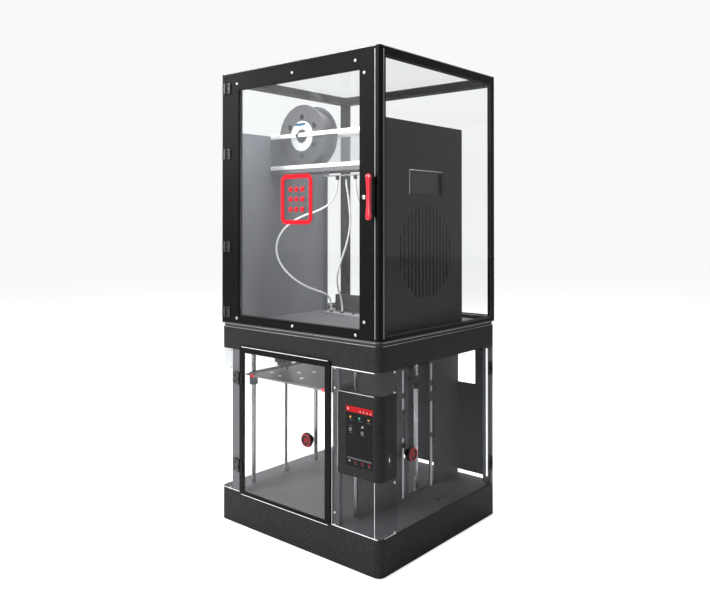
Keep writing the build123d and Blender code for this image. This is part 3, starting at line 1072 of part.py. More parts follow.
with BuildPart() as spool_winding:
    rod(SPOOL_X, SPOOL_Y + SPOOL_FLANGE, SPOOL_Z, WINDING_RADIUS, SPOOL_WIDTH - 2 * SPOOL_FLANGE, "Y")
    rod(SPOOL_X, SPOOL_Y, SPOOL_Z, SPOOL_WINDOW_ORBIT_RADIUS + SPOOL_WINDOW_RADIUS + EDGE, SPOOL_WIDTH, "Y",
        Mode.SUBTRACT)
save(spool_winding, "spool_winding")

# ---------------------------------------------------------------- tube brackets, fittings, tubes
OUTLET_RUN = (OUTLET_X[0] - 2 * BRACKET_DEPTH, OUTLET_X[-1] + BRACKET_DEPTH)
INLET_RUN = (INLET_X[0] - BRACKET_DEPTH, INLET_X[-1] + BRACKET_DEPTH)
INLET_BAR_TOP = FLOOR_TOP + INLET_BAR_HEIGHT
with BuildPart() as tube_brackets:
    bar(OUTLET_RUN, (OUTLET_Y - BRACKET_DEPTH / 2, OUTLET_Y + BRACKET_DEPTH / 2),
        (OUTLET_BAR_TOP - BRACKET_SHEET, OUTLET_BAR_TOP))
    for x in (OUTLET_RUN[0], OUTLET_RUN[1] - BRACKET_SHEET):
        bar((x, x + BRACKET_SHEET), (OUTLET_Y - BRACKET_DEPTH / 2, OUTLET_Y + BRACKET_DEPTH / 2),
            (OUTLET_BAR_TOP, TRAY_TOP - SHEET))
    bar(INLET_RUN, (INLET_Y - BRACKET_DEPTH / 2, INLET_Y + BRACKET_DEPTH / 2), (FLOOR_TOP, INLET_BAR_TOP))
    chamfer(tube_brackets.faces().sort_by(Axis.Z)[0:1].edges().filter_by(Axis.X), EDGE)
save(tube_brackets, "tube_brackets")

OUTLET_END = OUTLET_BAR_TOP - BRACKET_SHEET - FITTING_LENGTH
INLET_END = INLET_BAR_TOP + INLET_FITTING_LENGTH
COLLET_RADIUS = TUBE_RADIUS + COLLET_WALL
with BuildPart() as tube_fittings:
    for x in OUTLET_X:
        rod(x, OUTLET_Y, OUTLET_END + 2 * EDGE, FITTING_RADIUS, FITTING_LENGTH - 2 * EDGE)
        rod(x, OUTLET_Y, OUTLET_END, COLLET_RADIUS, 2 * EDGE)
    for x in INLET_X:
        rod(x, INLET_Y, INLET_BAR_TOP, FITTING_RADIUS, INLET_FITTING_LENGTH - 2 * EDGE)
        rod(x, INLET_Y, INLET_END - 2 * EDGE, COLLET_RADIUS, 2 * EDGE)
save(tube_fittings, "tube_fittings")

OUTLET_STUB = OUTLET_END - TUBE_STUB
INLET_STUB = INLET_END + TUBE_STUB
# Each route gives X, Y and the rise above the tube's lower end, from the top down.
TUBE_ROUTES = {
    "filament_tube_1": (OUTLET_X[0], INLET_X[0], [
        (266, 228, 378), (250, 221, 348), (214, 205, 326), (155, 185, 308), (106, 166, 276), (83, 151, 230),
        (84, 153, 180), (106, 172, 133), (136, 213, 93), (150, 264, 72), (146, 310, 60), (136, 343, 42),
    ]),
    "filament_tube_2": (OUTLET_X[1], INLET_X[1], [
        (314, 231, 373), (318, 232, 333), (320, 235, 293), (304, 240, 234), (271, 249, 178), (237, 264, 124),
        (210, 298, 83), (189, 338, 50),
    ]),
    "filament_tube_3": (OUTLET_X[2], INLET_X[3], [
        (346, 232, 378), (356, 238, 338), (372, 246, 293), (384, 252, 238), (382, 260, 183), (367, 272, 130),
        (342, 292, 93), (312, 320, 68), (286, 344, 46),
    ]),
}

for name, (outlet_x, inlet_x, route) in TUBE_ROUTES.items():
    above = [(outlet_x, OUTLET_Y, OUTLET_END), (outlet_x, OUTLET_Y, OUTLET_STUB)]
    below = [(inlet_x, INLET_Y, INLET_STUB), (inlet_x, INLET_Y, INLET_END)]
    middle = [(x, y, INLET_END + rise * (OUTLET_END - INLET_END) / TUBE_FALL) for x, y, rise in route]
    points = [Vector(LEFT + x, FRONT + y, z) for x, y, z in above + middle + below]
    bends = []
    for before, corner, after in zip(points, points[1:], points[2:]):
        turn = radians((corner - before).get_angle(after - corner))
        bends.append(BEND_SHARE * min((corner - before).length, (after - corner).length) / tan(turn / 2))
    with BuildPart() as tube:
        with BuildLine() as path:
            FilletPolyline(*points, radius=bends)
        with BuildSketch(Plane(origin=points[0], z_dir=points[1] - points[0])):
            Circle(TUBE_RADIUS)
        sweep(path=path.line)
    length = sum(edge.length for edge in path.edges())
    expected = pi * TUBE_RADIUS ** 2 * length
    print(name, "length", round(length), "tightest bend", round(min(bends)),
          "volume share", round(tube.part.volume / expected, 3))
    save(tube, name)

# ================================================================ doors
CABINET_AXIS_X = LEFT_STILE + CABINET_DOOR_GAP / 2
CABINET_DOOR_X = (LEFT_STILE + CABINET_DOOR_GAP, BODY_WIDTH - RIGHT_STILE - CABINET_LATCH_GAP)
CABINET_DOOR_Z = (FLOOR_TOP + EDGE, CABINET_TOP - FRONT_HEAD - EDGE / 2)
FRONT_AXIS_X = FRONT_DOOR_LEFT - SEAM
SIDE_AXIS_Y = (SIDE_DOOR_REAR + BODY_DEPTH - REAR_POST) / 2
cabinet_levels = ([CABINET_BASE + rise for rise in CABINET_HINGE_RISES]
                  + [CABINET_TOP - drop for drop in CABINET_HINGE_DROPS])
front_levels = (FRONT_DOOR_BOTTOM + FRONT_HINGE_RISE, FRONT_DOOR_TOP - FRONT_HINGE_DROP)
side_levels = (PLINTH_TOP + SIDE_HINGE_RISE, WINDOW_TOP - SIDE_HINGE_DROP)
cabinet_hinges = [(front_plane(CABINET_AXIS_X, z), CABINET_LEAF_HEIGHT) for z in cabinet_levels]
front_hinges = [(front_plane(FRONT_AXIS_X, z, FRONT_DOOR_FACE), FRONT_LEAF_HEIGHT) for z in front_levels]
side_hinges = [(side_plane(SIDE_AXIS_Y, z), SIDE_LEAF_HEIGHT) for z in side_levels]

with BuildPart() as fixed_hinge_leaves:
    for face, height in cabinet_hinges:
        hinge_leaf(face, CABINET_FIXED_LEAF_WIDTH, height, moving=False)
    for face, height in front_hinges:
        hinge_leaf(face, FRONT_FIXED_LEAF_WIDTH, height, moving=False, packing=FRONT_DOOR_FACE)
    for face, height in side_hinges:
        hinge_leaf(face, SIDE_FIXED_LEAF_WIDTH, height, moving=False)
save(fixed_hinge_leaves, "fixed_hinge_leaves")

with BuildPart() as cabinet_door_leaves:
    for face, height in cabinet_hinges:
        hinge_leaf(face, CABINET_LEAF_WIDTH, height, moving=True)
save(cabinet_door_leaves, "cabinet_door_leaves")

with BuildPart() as front_door_leaves:
    for face, height in front_hinges:
        hinge_leaf(face, FRONT_LEAF_WIDTH, height, moving=True)
save(front_door_leaves, "front_door_leaves")

with BuildPart() as side_door_leaves:
    for face, height in side_hinges:
        hinge_leaf(face, SIDE_LEAF_WIDTH, height, moving=True)
save(side_door_leaves, "side_door_leaves")


def door_bars(x_span, y_span, z_span, borders):
    """Add the two stiles of a glazed door and the two rails between them."""
    left, right, top, bottom = borders
    inner = (x_span[0] + left + SEAM, x_span[1] - right - SEAM)
    bar((x_span[0], x_span[0] + left), y_span, z_span)
    bar((x_span[1] - right, x_span[1]), y_span, z_span)
    bar(inner, y_span, (z_span[1] - top, z_span[1]))
    bar(inner, y_span, (z_span[0], z_span[0] + bottom))


def glass_spans(x_span, z_span, borders, clearance=0.0):
    """Give the X and Z spans of a door's glass, which reaches into the groove of its frame."""
    left, right, top, bottom = borders
    seat = GLASS_SEAT + clearance
    return ((x_span[0] + left - seat, x_span[1] - right + seat),
            (z_span[0] + bottom - seat, z_span[1] - top + seat))


CABINET_BORDERS = (DOOR_LEFT_BORDER, DOOR_RIGHT_BORDER, DOOR_TOP_BORDER, DOOR_BOTTOM_BORDER)
CABINET_GLASS_Y = (GLASS_SEAT, GLASS_SEAT + PANEL)
with BuildPart() as cabinet_door_frame:
    door_bars(CABINET_DOOR_X, (0, CABINET_DOOR_THICKNESS), CABINET_DOOR_Z, CABINET_BORDERS)
    across = cabinet_door_frame.edges().filter_by(Axis.Y).group_by(Axis.X)
    fillet(across[0] + across[-1], CABINET_DOOR_RADIUS)
    groove_x, groove_z = glass_spans(CABINET_DOOR_X, CABINET_DOOR_Z, CABINET_BORDERS, SEAM)
    bar(groove_x, (CABINET_GLASS_Y[0] - RUN_FIT, CABINET_GLASS_Y[1] + RUN_FIT), groove_z, Mode.SUBTRACT)
save(cabinet_door_frame, "cabinet_door_frame")

with BuildPart() as cabinet_door_glass:
    pane_x, pane_z = glass_spans(CABINET_DOOR_X, CABINET_DOOR_Z, CABINET_BORDERS)
    bar(pane_x, CABINET_GLASS_Y, pane_z)
save(cabinet_door_glass, "cabinet_door_glass")

HANDLE_X = CABINET_DOOR_X[1] - HANDLE_EDGE_OFFSET
HANDLE_Z = CABINET_BASE + HANDLE_RISE
with BuildPart() as handle_base:
    with BuildSketch(front_plane(HANDLE_X, HANDLE_Z, SEAM)):
        Rectangle(HANDLE_WIDTH, HANDLE_BASE_HEIGHT)
    extrude(amount=HANDLE_BASE_THICKNESS)
    chamfer(handle_base.faces().sort_by(Axis.Y)[0].edges(), EDGE)
save(handle_base, "handle_base")

with BuildPart() as door_handle:
    bulge = HANDLE_WIDTH / 2
    reach = HANDLE_HEIGHT / 2 - bulge
    base_face = SEAM + HANDLE_BASE_THICKNESS
    with BuildSketch(front_plane(HANDLE_X, HANDLE_Z, base_face)):
        with BuildLine():
            ThreePointArc((bulge, reach), (HANDLE_WAIST / 2, 0), (bulge, -reach))
            ThreePointArc((bulge, -reach), (0, -reach - bulge), (-bulge, -reach))
            ThreePointArc((-bulge, -reach), (-HANDLE_WAIST / 2, 0), (-bulge, reach))
            ThreePointArc((-bulge, reach), (0, reach + bulge), (bulge, reach))
        make_face()
    extrude(amount=HANDLE_REACH - base_face)
    chamfer(door_handle.faces().sort_by(Axis.Y)[0].edges(), 2 * EDGE)
    window = Plane(origin=(LEFT + HANDLE_X - HANDLE_WIDTH, FRONT - base_face, HANDLE_Z), x_dir=(0, -1, 0),
                   z_dir=(1, 0, 0))
    with BuildSketch(window):
        with Locations((HANDLE_GAP_DEPTH / 2 - EDGE, 0)):
            RectangleRounded(HANDLE_GAP_DEPTH + 2 * EDGE, HANDLE_GAP_HEIGHT, 4 * EDGE)
    extrude(amount=2 * HANDLE_WIDTH, mode=Mode.SUBTRACT)
save(door_handle, "door_handle")

FRONT_DOOR_X = (FRONT_DOOR_LEFT, FRONT_DOOR_RIGHT)
FRONT_DOOR_Z = (FRONT_DOOR_BOTTOM, FRONT_DOOR_TOP)
FRONT_BORDERS = (FRONT_DOOR_STILE, FRONT_DOOR_STILE, FRONT_DOOR_TOP_RAIL, FRONT_DOOR_BOTTOM_RAIL)
FRONT_GLASS_Y = (-FRONT_GLASS_FACE, FRONT_GLASS - FRONT_GLASS_FACE)
with BuildPart() as front_door_frame:
    door_bars(FRONT_DOOR_X, (-FRONT_DOOR_FACE, -SEAM), FRONT_DOOR_Z, FRONT_BORDERS)
    across = front_door_frame.edges().filter_by(Axis.Y).group_by(Axis.X)
    fillet(across[0] + across[-1], FRONT_DOOR_RADIUS)
    groove_x, groove_z = glass_spans(FRONT_DOOR_X, FRONT_DOOR_Z, FRONT_BORDERS, SEAM)
    bar(groove_x, (FRONT_GLASS_Y[0] - RUN_FIT, FRONT_GLASS_Y[1] + RUN_FIT), groove_z, Mode.SUBTRACT)
save(front_door_frame, "front_door_frame")

with BuildPart() as front_door_glass:
    pane_x, pane_z = glass_spans(FRONT_DOOR_X, FRONT_DOOR_Z, FRONT_BORDERS)
    bar(pane_x, FRONT_GLASS_Y, pane_z)
save(front_door_glass, "front_door_glass")

with BuildPart() as front_door_knob:
    knob(front_plane(FRONT_DOOR_RIGHT - FRONT_KNOB_INSET, PLINTH_TOP + FRONT_KNOB_RISE, FRONT_GLASS_FACE))
save(front_door_knob, "front_door_knob")

with BuildPart() as side_door_panel:
    side_middle = ((SIDE_DOOR_FRONT + SIDE_DOOR_REAR) / 2, (PLINTH_TOP + WINDOW_TOP) / 2)
    with BuildSketch(side_plane(*side_middle)):
        RectangleRounded(SIDE_DOOR_REAR - SIDE_DOOR_FRONT, WINDOW_HEIGHT - 2 * SIDE_DOOR_GAP,
                         SIDE_DOOR_RADIUS)
    extrude(amount=-PANEL)
    chamfer(side_door_panel.faces().sort_by(Axis.X)[-1].edges(), EDGE / 2)
save(side_door_panel, "side_door_panel")

with BuildPart() as side_door_knob:
    knob(side_plane(SIDE_KNOB_Y, PLINTH_TOP + SIDE_KNOB_RISE))
save(side_door_knob, "side_door_knob")
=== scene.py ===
"""Looks for an enclosed filament printer with a glazed spool cabinet, dressed around its solids."""

from __future__ import annotations

import json
import logging
import math
from dataclasses import dataclass
from enum import Enum
from typing import Callable, Iterable, Sequence

import bmesh
import bpy
from mathutils import Matrix, Vector

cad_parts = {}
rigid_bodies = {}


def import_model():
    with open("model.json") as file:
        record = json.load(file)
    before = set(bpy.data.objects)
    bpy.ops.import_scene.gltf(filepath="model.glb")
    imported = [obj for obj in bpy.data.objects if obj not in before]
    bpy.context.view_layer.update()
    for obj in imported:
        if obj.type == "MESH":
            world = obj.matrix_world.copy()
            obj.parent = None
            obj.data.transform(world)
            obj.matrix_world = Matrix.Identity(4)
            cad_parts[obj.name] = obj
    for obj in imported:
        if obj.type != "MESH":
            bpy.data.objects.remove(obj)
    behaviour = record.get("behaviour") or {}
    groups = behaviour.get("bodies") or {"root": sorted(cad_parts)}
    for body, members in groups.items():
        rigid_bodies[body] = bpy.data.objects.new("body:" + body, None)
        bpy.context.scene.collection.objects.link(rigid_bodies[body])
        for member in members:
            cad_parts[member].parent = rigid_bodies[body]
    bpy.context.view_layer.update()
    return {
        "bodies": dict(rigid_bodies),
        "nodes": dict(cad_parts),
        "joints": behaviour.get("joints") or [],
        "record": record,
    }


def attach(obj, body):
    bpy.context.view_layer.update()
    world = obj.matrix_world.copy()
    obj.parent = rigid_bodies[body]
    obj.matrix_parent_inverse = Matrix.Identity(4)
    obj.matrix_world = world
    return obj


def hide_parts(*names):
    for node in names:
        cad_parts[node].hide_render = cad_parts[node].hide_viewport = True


log = logging.getLogger("printer")

MM = 0.001
LEFT = -0.321
FRONT = -0.27335

Colour = tuple[float, float, float]
Span = tuple[float, float]


def at(x: float, y: float, z: float) -> Vector:
    """Give a point in metres from millimetres right of the left face, behind the front face and up."""
    return Vector((LEFT + x * MM, FRONT + y * MM, z * MM))


def shade(colour: Colour, gain: float, lift: float = 0.0) -> Colour:
    """Make a colour lighter or darker."""
    return tuple(min(1.0, channel * gain + lift) for channel in colour)


# --- shader toolkit
def _operator(operation: str, note: str) -> Callable[..., Val]:
    """Make a method of a value that adds one Math node.

    Args:
        operation: The node's operation.
        note: The method's docstring.

    Returns:
        The method.
    """
    def method(self: Val, *others: Val | float) -> Val:
        return self.math(operation, *others)

    method.__doc__ = note
    return method


class Val:
    """A shader socket that adds Math nodes when it is used in an expression."""

    def __init__(self, tree: bpy.types.NodeTree, socket: bpy.types.NodeSocket) -> None:
        """Wrap an output socket of a node tree."""
        self.tree = tree
        self.socket = socket

    def math(self, operation: str, *others: Val | float) -> Val:
        """Add one Math node.

        Args:
            operation: The node's operation.
            others: The values after this one.

        Returns:
            The node's result.
        """
        node = self.tree.nodes.new("ShaderNodeMath")
        node.operation = operation
        for index, value in enumerate((self, *others)):
            if isinstance(value, Val):
                self.tree.links.new(value.socket, node.inputs[index])
            else:
                node.inputs[index].default_value = value
        return Val(self.tree, node.outputs[0])

    __add__ = __radd__ = _operator("ADD", "Add.")
    __sub__ = _operator("SUBTRACT", "Subtract.")
    __mul__ = _operator("MULTIPLY", "Multiply.")
    __truediv__ = _operator("DIVIDE", "Divide.")
    __gt__ = _operator("GREATER_THAN", "Give 1 where this is greater.")
    power = _operator("POWER", "Raise to a power.")
    size = _operator("ABSOLUTE", "Take the absolute value.")
    share = _operator("FRACT", "Take the fractional part.")
    angle = _operator("ARCTAN2", "Take the angle of the point (other, this) about the origin.")

    def clamp(self) -> Val:
        """Limit to 0 to 1."""
        result = self.math("ADD", 0.0)
        result.socket.node.use_clamp = True
        return result

    def smooth(self, low: float, high: float) -> Val:
        """Rise smoothly from 0 at low to 1 at high."""
        node = self.tree.nodes.new("ShaderNodeMapRange")
        node.interpolation_type = "SMOOTHSTEP"
        self.tree.links.new(self.socket, node.inputs["Value"])
        node.inputs["From Min"].default_value = low
        node.inputs["From Max"].default_value = high
        return Val(self.tree, node.outputs["Result"])


class Paint:
    """One material under construction, with the few nodes that the finishes share."""

    def __init__(self, name: str) -> None:
        """Start an empty material of that name."""
        self.material = bpy.data.materials.new(name)
        self.material.use_nodes = True
        self.tree = self.material.node_tree
        self.tree.nodes.clear()
        self.output = self.tree.nodes.new("ShaderNodeOutputMaterial")
        self._place: Val | None = None

    def node(self, kind: str, settings: dict | None = None, **values: object) -> bpy.types.Node:
        """Add any other node.

        Args:
            kind: The node's type.
            settings: Its properties, which are set first.
            values: Values or links of its sockets, with spaces as underscores.

        Returns:
            The node.
        """
        node = self.tree.nodes.new(kind)
        for key, value in (settings or {}).items():
            setattr(node, key, value)
        for key, value in values.items():
            socket = node.inputs[key.replace("_", " ")]
            self.feed(socket, value)
        return node

    def feed(self, socket: bpy.types.NodeSocket, value: object) -> None:
        """Link a value to a socket, or set it there."""
        if isinstance(value, Val):
            self.tree.links.new(value.socket, socket)
        elif isinstance(value, tuple) and len(value) == 3 and socket.type == "RGBA":
            socket.default_value = (*value, 1.0)
        else:
            socket.default_value = value

    def place(self) -> Val:
        """Give the point on the piece, in its own metres."""
        if self._place is None:
            self._place = Val(self.tree, self.node("ShaderNodeTexCoord").outputs["Object"])
        return self._place

    def axes(self, centre: Vector = Vector((0.0, 0.0, 0.0))) -> tuple[Val, Val, Val]:
        """Give the point's three coordinates about a centre."""
        split = self.node("ShaderNodeSeparateXYZ", Vector=self.place())
        return tuple(Val(self.tree, split.outputs[i]) - centre[i] for i in range(3))

    def stretched(self, scale: Sequence[float]) -> Val:
        """Give the point scaled along each axis."""
        node = self.node("ShaderNodeMapping", Vector=self.place(), Scale=tuple(scale))
        return Val(self.tree, node.outputs[0])

    def noise(self, scale: float, detail: float = 3.0, rough: float = 0.5,
              where: Val | None = None) -> Val:
        """Give soft noise about 0.5, at a scale in cells per metre."""
        node = self.node("ShaderNodeTexNoise", Vector=where or self.place(), Scale=scale, Detail=detail,
                         Roughness=rough)
        return Val(self.tree, node.outputs["Fac"])

    def mix(self, share: Val | float, first: Colour | Val, second: Colour | Val) -> Val:
        """Mix two colours."""
        node = self.node("ShaderNodeMix", {"data_type": "RGBA"})
        self.feed(node.inputs[0], share)
        self.feed(node.inputs[6], first)
        self.feed(node.inputs[7], second)
        return Val(self.tree, node.outputs[2])

    def bump(self, height: Val, depth: float, strength: float = 1.0) -> Val:
        """Turn a height from 0 to 1 into a normal, for a relief of that depth in metres."""
        node = self.node("ShaderNodeBump", Height=height, Distance=depth, Strength=strength)
        return Val(self.tree, node.outputs[0])

    def surface(self, **values: object) -> bpy.types.Material:
        """Finish with one Principled shader and give the material."""
        shader = self.node("ShaderNodeBsdfPrincipled", **values)
        self.tree.links.new(shader.outputs[0], self.output.inputs[0])
        return self.material

    def pane(self, share: Val, tint: Colour, **values: object) -> bpy.types.Material:
        """Finish with a clear sheet that shows its surface by a share and lets the rest through."""
        shader = self.node("ShaderNodeBsdfPrincipled", **values)
        clear = self.node("ShaderNodeBsdfTransparent", Color=tint)
        mixed = self.node("ShaderNodeMixShader")
        self.feed(mixed.inputs[0], share)
        self.tree.links.new(clear.outputs[0], mixed.inputs[1])
        self.tree.links.new(shader.outputs[0], mixed.inputs[2])
        self.tree.links.new(mixed.outputs[0], self.output.inputs[0])
        return self.material


# --- finishes
class Along(Enum):
    """The axis along which a finish was rolled, drawn or turned."""

    X = (0.04, 1.0, 1.0)
    Y = (1.0, 0.04, 1.0)
    Z = (1.0, 1.0, 0.04)


@dataclass(frozen=True)
class Finish:
    """A named finish of one main colour."""

    name: str
    colour: Colour


@dataclass(frozen=True)
class TexturedCoat(Finish):
    """Powder coat with a fine orange-peel grain and a few lighter specks."""

    grain: float = 330.0
    depth: float = 0.0002
    rough: float = 0.5

    def make(self) -> bpy.types.Material:
        """Give the material."""
        paint = Paint(self.name)
        grain = paint.noise(self.grain, 4.0, 0.62)
        coarse = paint.noise(self.grain / 3.2, 2.0)
        cloud = paint.noise(5.0, 3.0)
        height = grain * 0.75 + coarse * 0.4
        light = shade(self.colour, 3.0, 0.02)
        speck = grain.smooth(0.5, 0.7)
        colour = paint.mix((speck * 0.8 + cloud * 0.12).clamp(), self.colour, light)
        return paint.surface(Base_Color=colour, Roughness=(self.rough + grain * 0.22 - 0.1).clamp(),
                             Normal=paint.bump(height, self.depth), Specular_IOR_Level=0.1)


@dataclass(frozen=True)
class Anodised(Finish):
    """Dyed, satin anodised aluminium with faint extrusion lines."""

    along: Along = Along.Z
    rough: float = 0.34
    metal: float = 0.0
    gloss: float = 0.06

    def make(self) -> bpy.types.Material:
        """Give the material."""
        paint = Paint(self.name)
        lines = paint.noise(900.0, 2.0, 0.6, paint.stretched(self.along.value))
        cloud = paint.noise(9.0, 3.0)
        light = shade(self.colour, 1.6, 0.0012)
        colour = paint.mix((lines * 0.6 + cloud * 0.3).clamp(), self.colour, light)
        rough = (self.rough + lines * 0.16 - 0.08 + cloud * 0.06).clamp()
        return paint.surface(Base_Color=colour, Roughness=rough, Metallic=self.metal,
                             Specular_IOR_Level=self.gloss, Normal=paint.bump(lines, 0.00004, 0.6))


@dataclass(frozen=True)
class SheetCoat(Finish):
    """Thin smooth coat on folded sheet, slightly uneven and dusty."""

    rough: float = 0.5
    gloss: float = 0.35

    def make(self) -> bpy.types.Material:
        """Give the material."""
        paint = Paint(self.name)
        peel = paint.noise(260.0, 3.0, 0.55)
        cloud = paint.noise(3.2, 4.0, 0.55)
        light = shade(self.colour, 1.28)
        colour = paint.mix((cloud * 0.8 + peel * 0.2).clamp(), self.colour, light)
        return paint.surface(Base_Color=colour, Roughness=(self.rough + peel * 0.14 - 0.05).clamp(),
                             Specular_IOR_Level=self.gloss, Normal=paint.bump(peel, 0.000015))


@dataclass(frozen=True)
class DrawnSteel(Finish):
    """Ground or drawn bright metal with fine lines along one axis."""

    along: Along = Along.Z
    rough: float = 0.2

    def make(self) -> bpy.types.Material:
        """Give the material."""
        paint = Paint(self.name)
        lines = paint.noise(1400.0, 2.0, 0.6, paint.stretched(self.along.value))
        smear = paint.noise(24.0, 3.0)
        dark = shade(self.colour, 0.72)
        colour = paint.mix((lines * 0.5 + smear * 0.4).clamp(), dark, self.colour)
        rough = (self.rough + lines * 0.18 + smear * 0.1 - 0.1).clamp()
        return paint.surface(Base_Color=colour, Roughness=rough, Metallic=1.0,
                             Normal=paint.bump(lines, 0.00002, 0.5))


@dataclass(frozen=True)
class ThreadedSteel(Finish):
    """A lead screw's steel, with its thread as a helical relief."""

    axis: Vector
    lead: float = 0.008
    starts: int = 4

    def make(self) -> bpy.types.Material:
        """Give the material."""
        paint = Paint(self.name)
        x, y, z = paint.axes(self.axis)
        turn = y.angle(x) / (2 * math.pi)
        wave = ((z / self.lead - turn) * float(self.starts)).share()
        ridge = (wave - 0.5).size() * 2.0
        flank = ridge.smooth(0.25, 0.75)
        # painted shade: the thread's low parts get a darker copy of the steel colour
        dark = shade(self.colour, 0.3)
        return paint.surface(Base_Color=paint.mix(flank, dark, self.colour), Metallic=1.0,
                             Roughness=(flank * -0.16 + 0.42 + paint.noise(300.0) * 0.1).clamp(),
                             Normal=paint.bump(flank, 0.0007))


@dataclass(frozen=True)
class Moulded(Finish):
    """Moulded plastic or rubber with a fine spark-eroded grain."""

    rough: float = 0.42
    grain: float = 700.0
    depth: float = 0.00003
    coat: float = 0.0
    gloss: float = 0.35

    def make(self) -> bpy.types.Material:
        """Give the material."""
        paint = Paint(self.name)
        grain = paint.noise(self.grain, 3.0, 0.55)
        cloud = paint.noise(14.0, 3.0)
        light = shade(self.colour, 1.22, 0.004)
        colour = paint.mix((cloud * 0.7 + grain * 0.3).clamp(), self.colour, light)
        return paint.surface(Base_Color=colour, Roughness=(self.rough + grain * 0.12 - 0.05).clamp(),
                             Normal=paint.bump(grain, self.depth), Coat_Weight=self.coat,
                             Coat_Roughness=0.08, Specular_IOR_Level=self.gloss)


@dataclass(frozen=True)
class ClearSheet(Finish):
    """Clear glazing that reflects at a slant and holds a faint haze of dust and wipe marks."""

    haze: float = 0.012
    body: Colour = (0.8, 0.82, 0.84)
    head_on: float = 0.022
    grazing: float = 0.16

    def make(self) -> bpy.types.Material:
        """Give the material."""
        paint = Paint(self.name)
        wipes = paint.noise(6.0, 4.0, 0.6, paint.stretched((1.0, 1.0, 0.35)))
        dust = paint.noise(420.0, 2.0).smooth(0.6, 0.8)
        slant = Val(paint.tree, paint.node("ShaderNodeLayerWeight").outputs["Facing"])
        mirror = slant.power(5.0) * self.grazing + self.head_on
        haze = wipes * self.haze + dust * 0.0006
        return paint.pane((mirror + haze).clamp(), self.colour, Base_Color=self.body,
                          Metallic=(mirror / (mirror + haze)).clamp(),
                          Roughness=(0.02 + wipes * 0.05).clamp())


@dataclass(frozen=True)
class Wound(Finish):
    """Filament wound in close turns about an axis that runs front to back."""

    centre: Vector
    pitch: float = 0.00175

    def make(self) -> bpy.types.Material:
        """Give the material."""
        paint = Paint(self.name)
        x, y, z = paint.axes(self.centre)
        sway = paint.noise(18.0, 2.0) * 0.6
        turns = ((y / self.pitch + sway).share() - 0.5).size() * 2.0
        groove = turns.smooth(0.0, 0.55)
        # painted shade: the grooves between turns get a darker copy of the filament colour
        dark = shade(self.colour, 0.35)
        return paint.surface(Base_Color=paint.mix(groove, dark, self.colour),
                             Roughness=(0.4 + paint.noise(80.0) * 0.15).clamp(),
                             Normal=paint.bump(groove, 0.0006), Coat_Weight=0.2, Coat_Roughness=0.2)


@dataclass(frozen=True)
class Toothed(Finish):
    """A black rubber belt with a fine rib across it."""

    pitch: float = 0.002

    def make(self) -> bpy.types.Material:
        """Give the material."""
        paint = Paint(self.name)
        x, y, z = paint.axes()
        rib = (((x + y) / self.pitch).share() - 0.5).size().smooth(0.12, 0.3)
        # painted highlight: the raised ribs get a lighter copy of the belt colour
        return paint.surface(Base_Color=paint.mix(rib, self.colour, shade(self.colour, 2.2)),
                             Roughness=(0.6 + rib * 0.12).clamp(), Normal=paint.bump(rib, 0.0004))


@dataclass(frozen=True)
class Lit(Finish):
    """A lit patch of a display, with the fine grid of its cells."""

    power: float = 1.0

    def make(self) -> bpy.types.Material:
        """Give the material."""
        paint = Paint(self.name)
        x, y, z = paint.axes()
        grid = ((x * 4000.0).share() > 0.2) * ((z * 4000.0).share() > 0.2)
        glow = paint.mix(grid * 0.35 + 0.65, (0.0, 0.0, 0.0), self.colour)
        return paint.surface(Base_Color=paint.mix(0.12, (0.0, 0.0, 0.0), glow), Emission_Color=glow,
                             Roughness=(0.25 + grid * 0.05).clamp(), Specular_IOR_Level=0.1,
                             Emission_Strength=self.power)


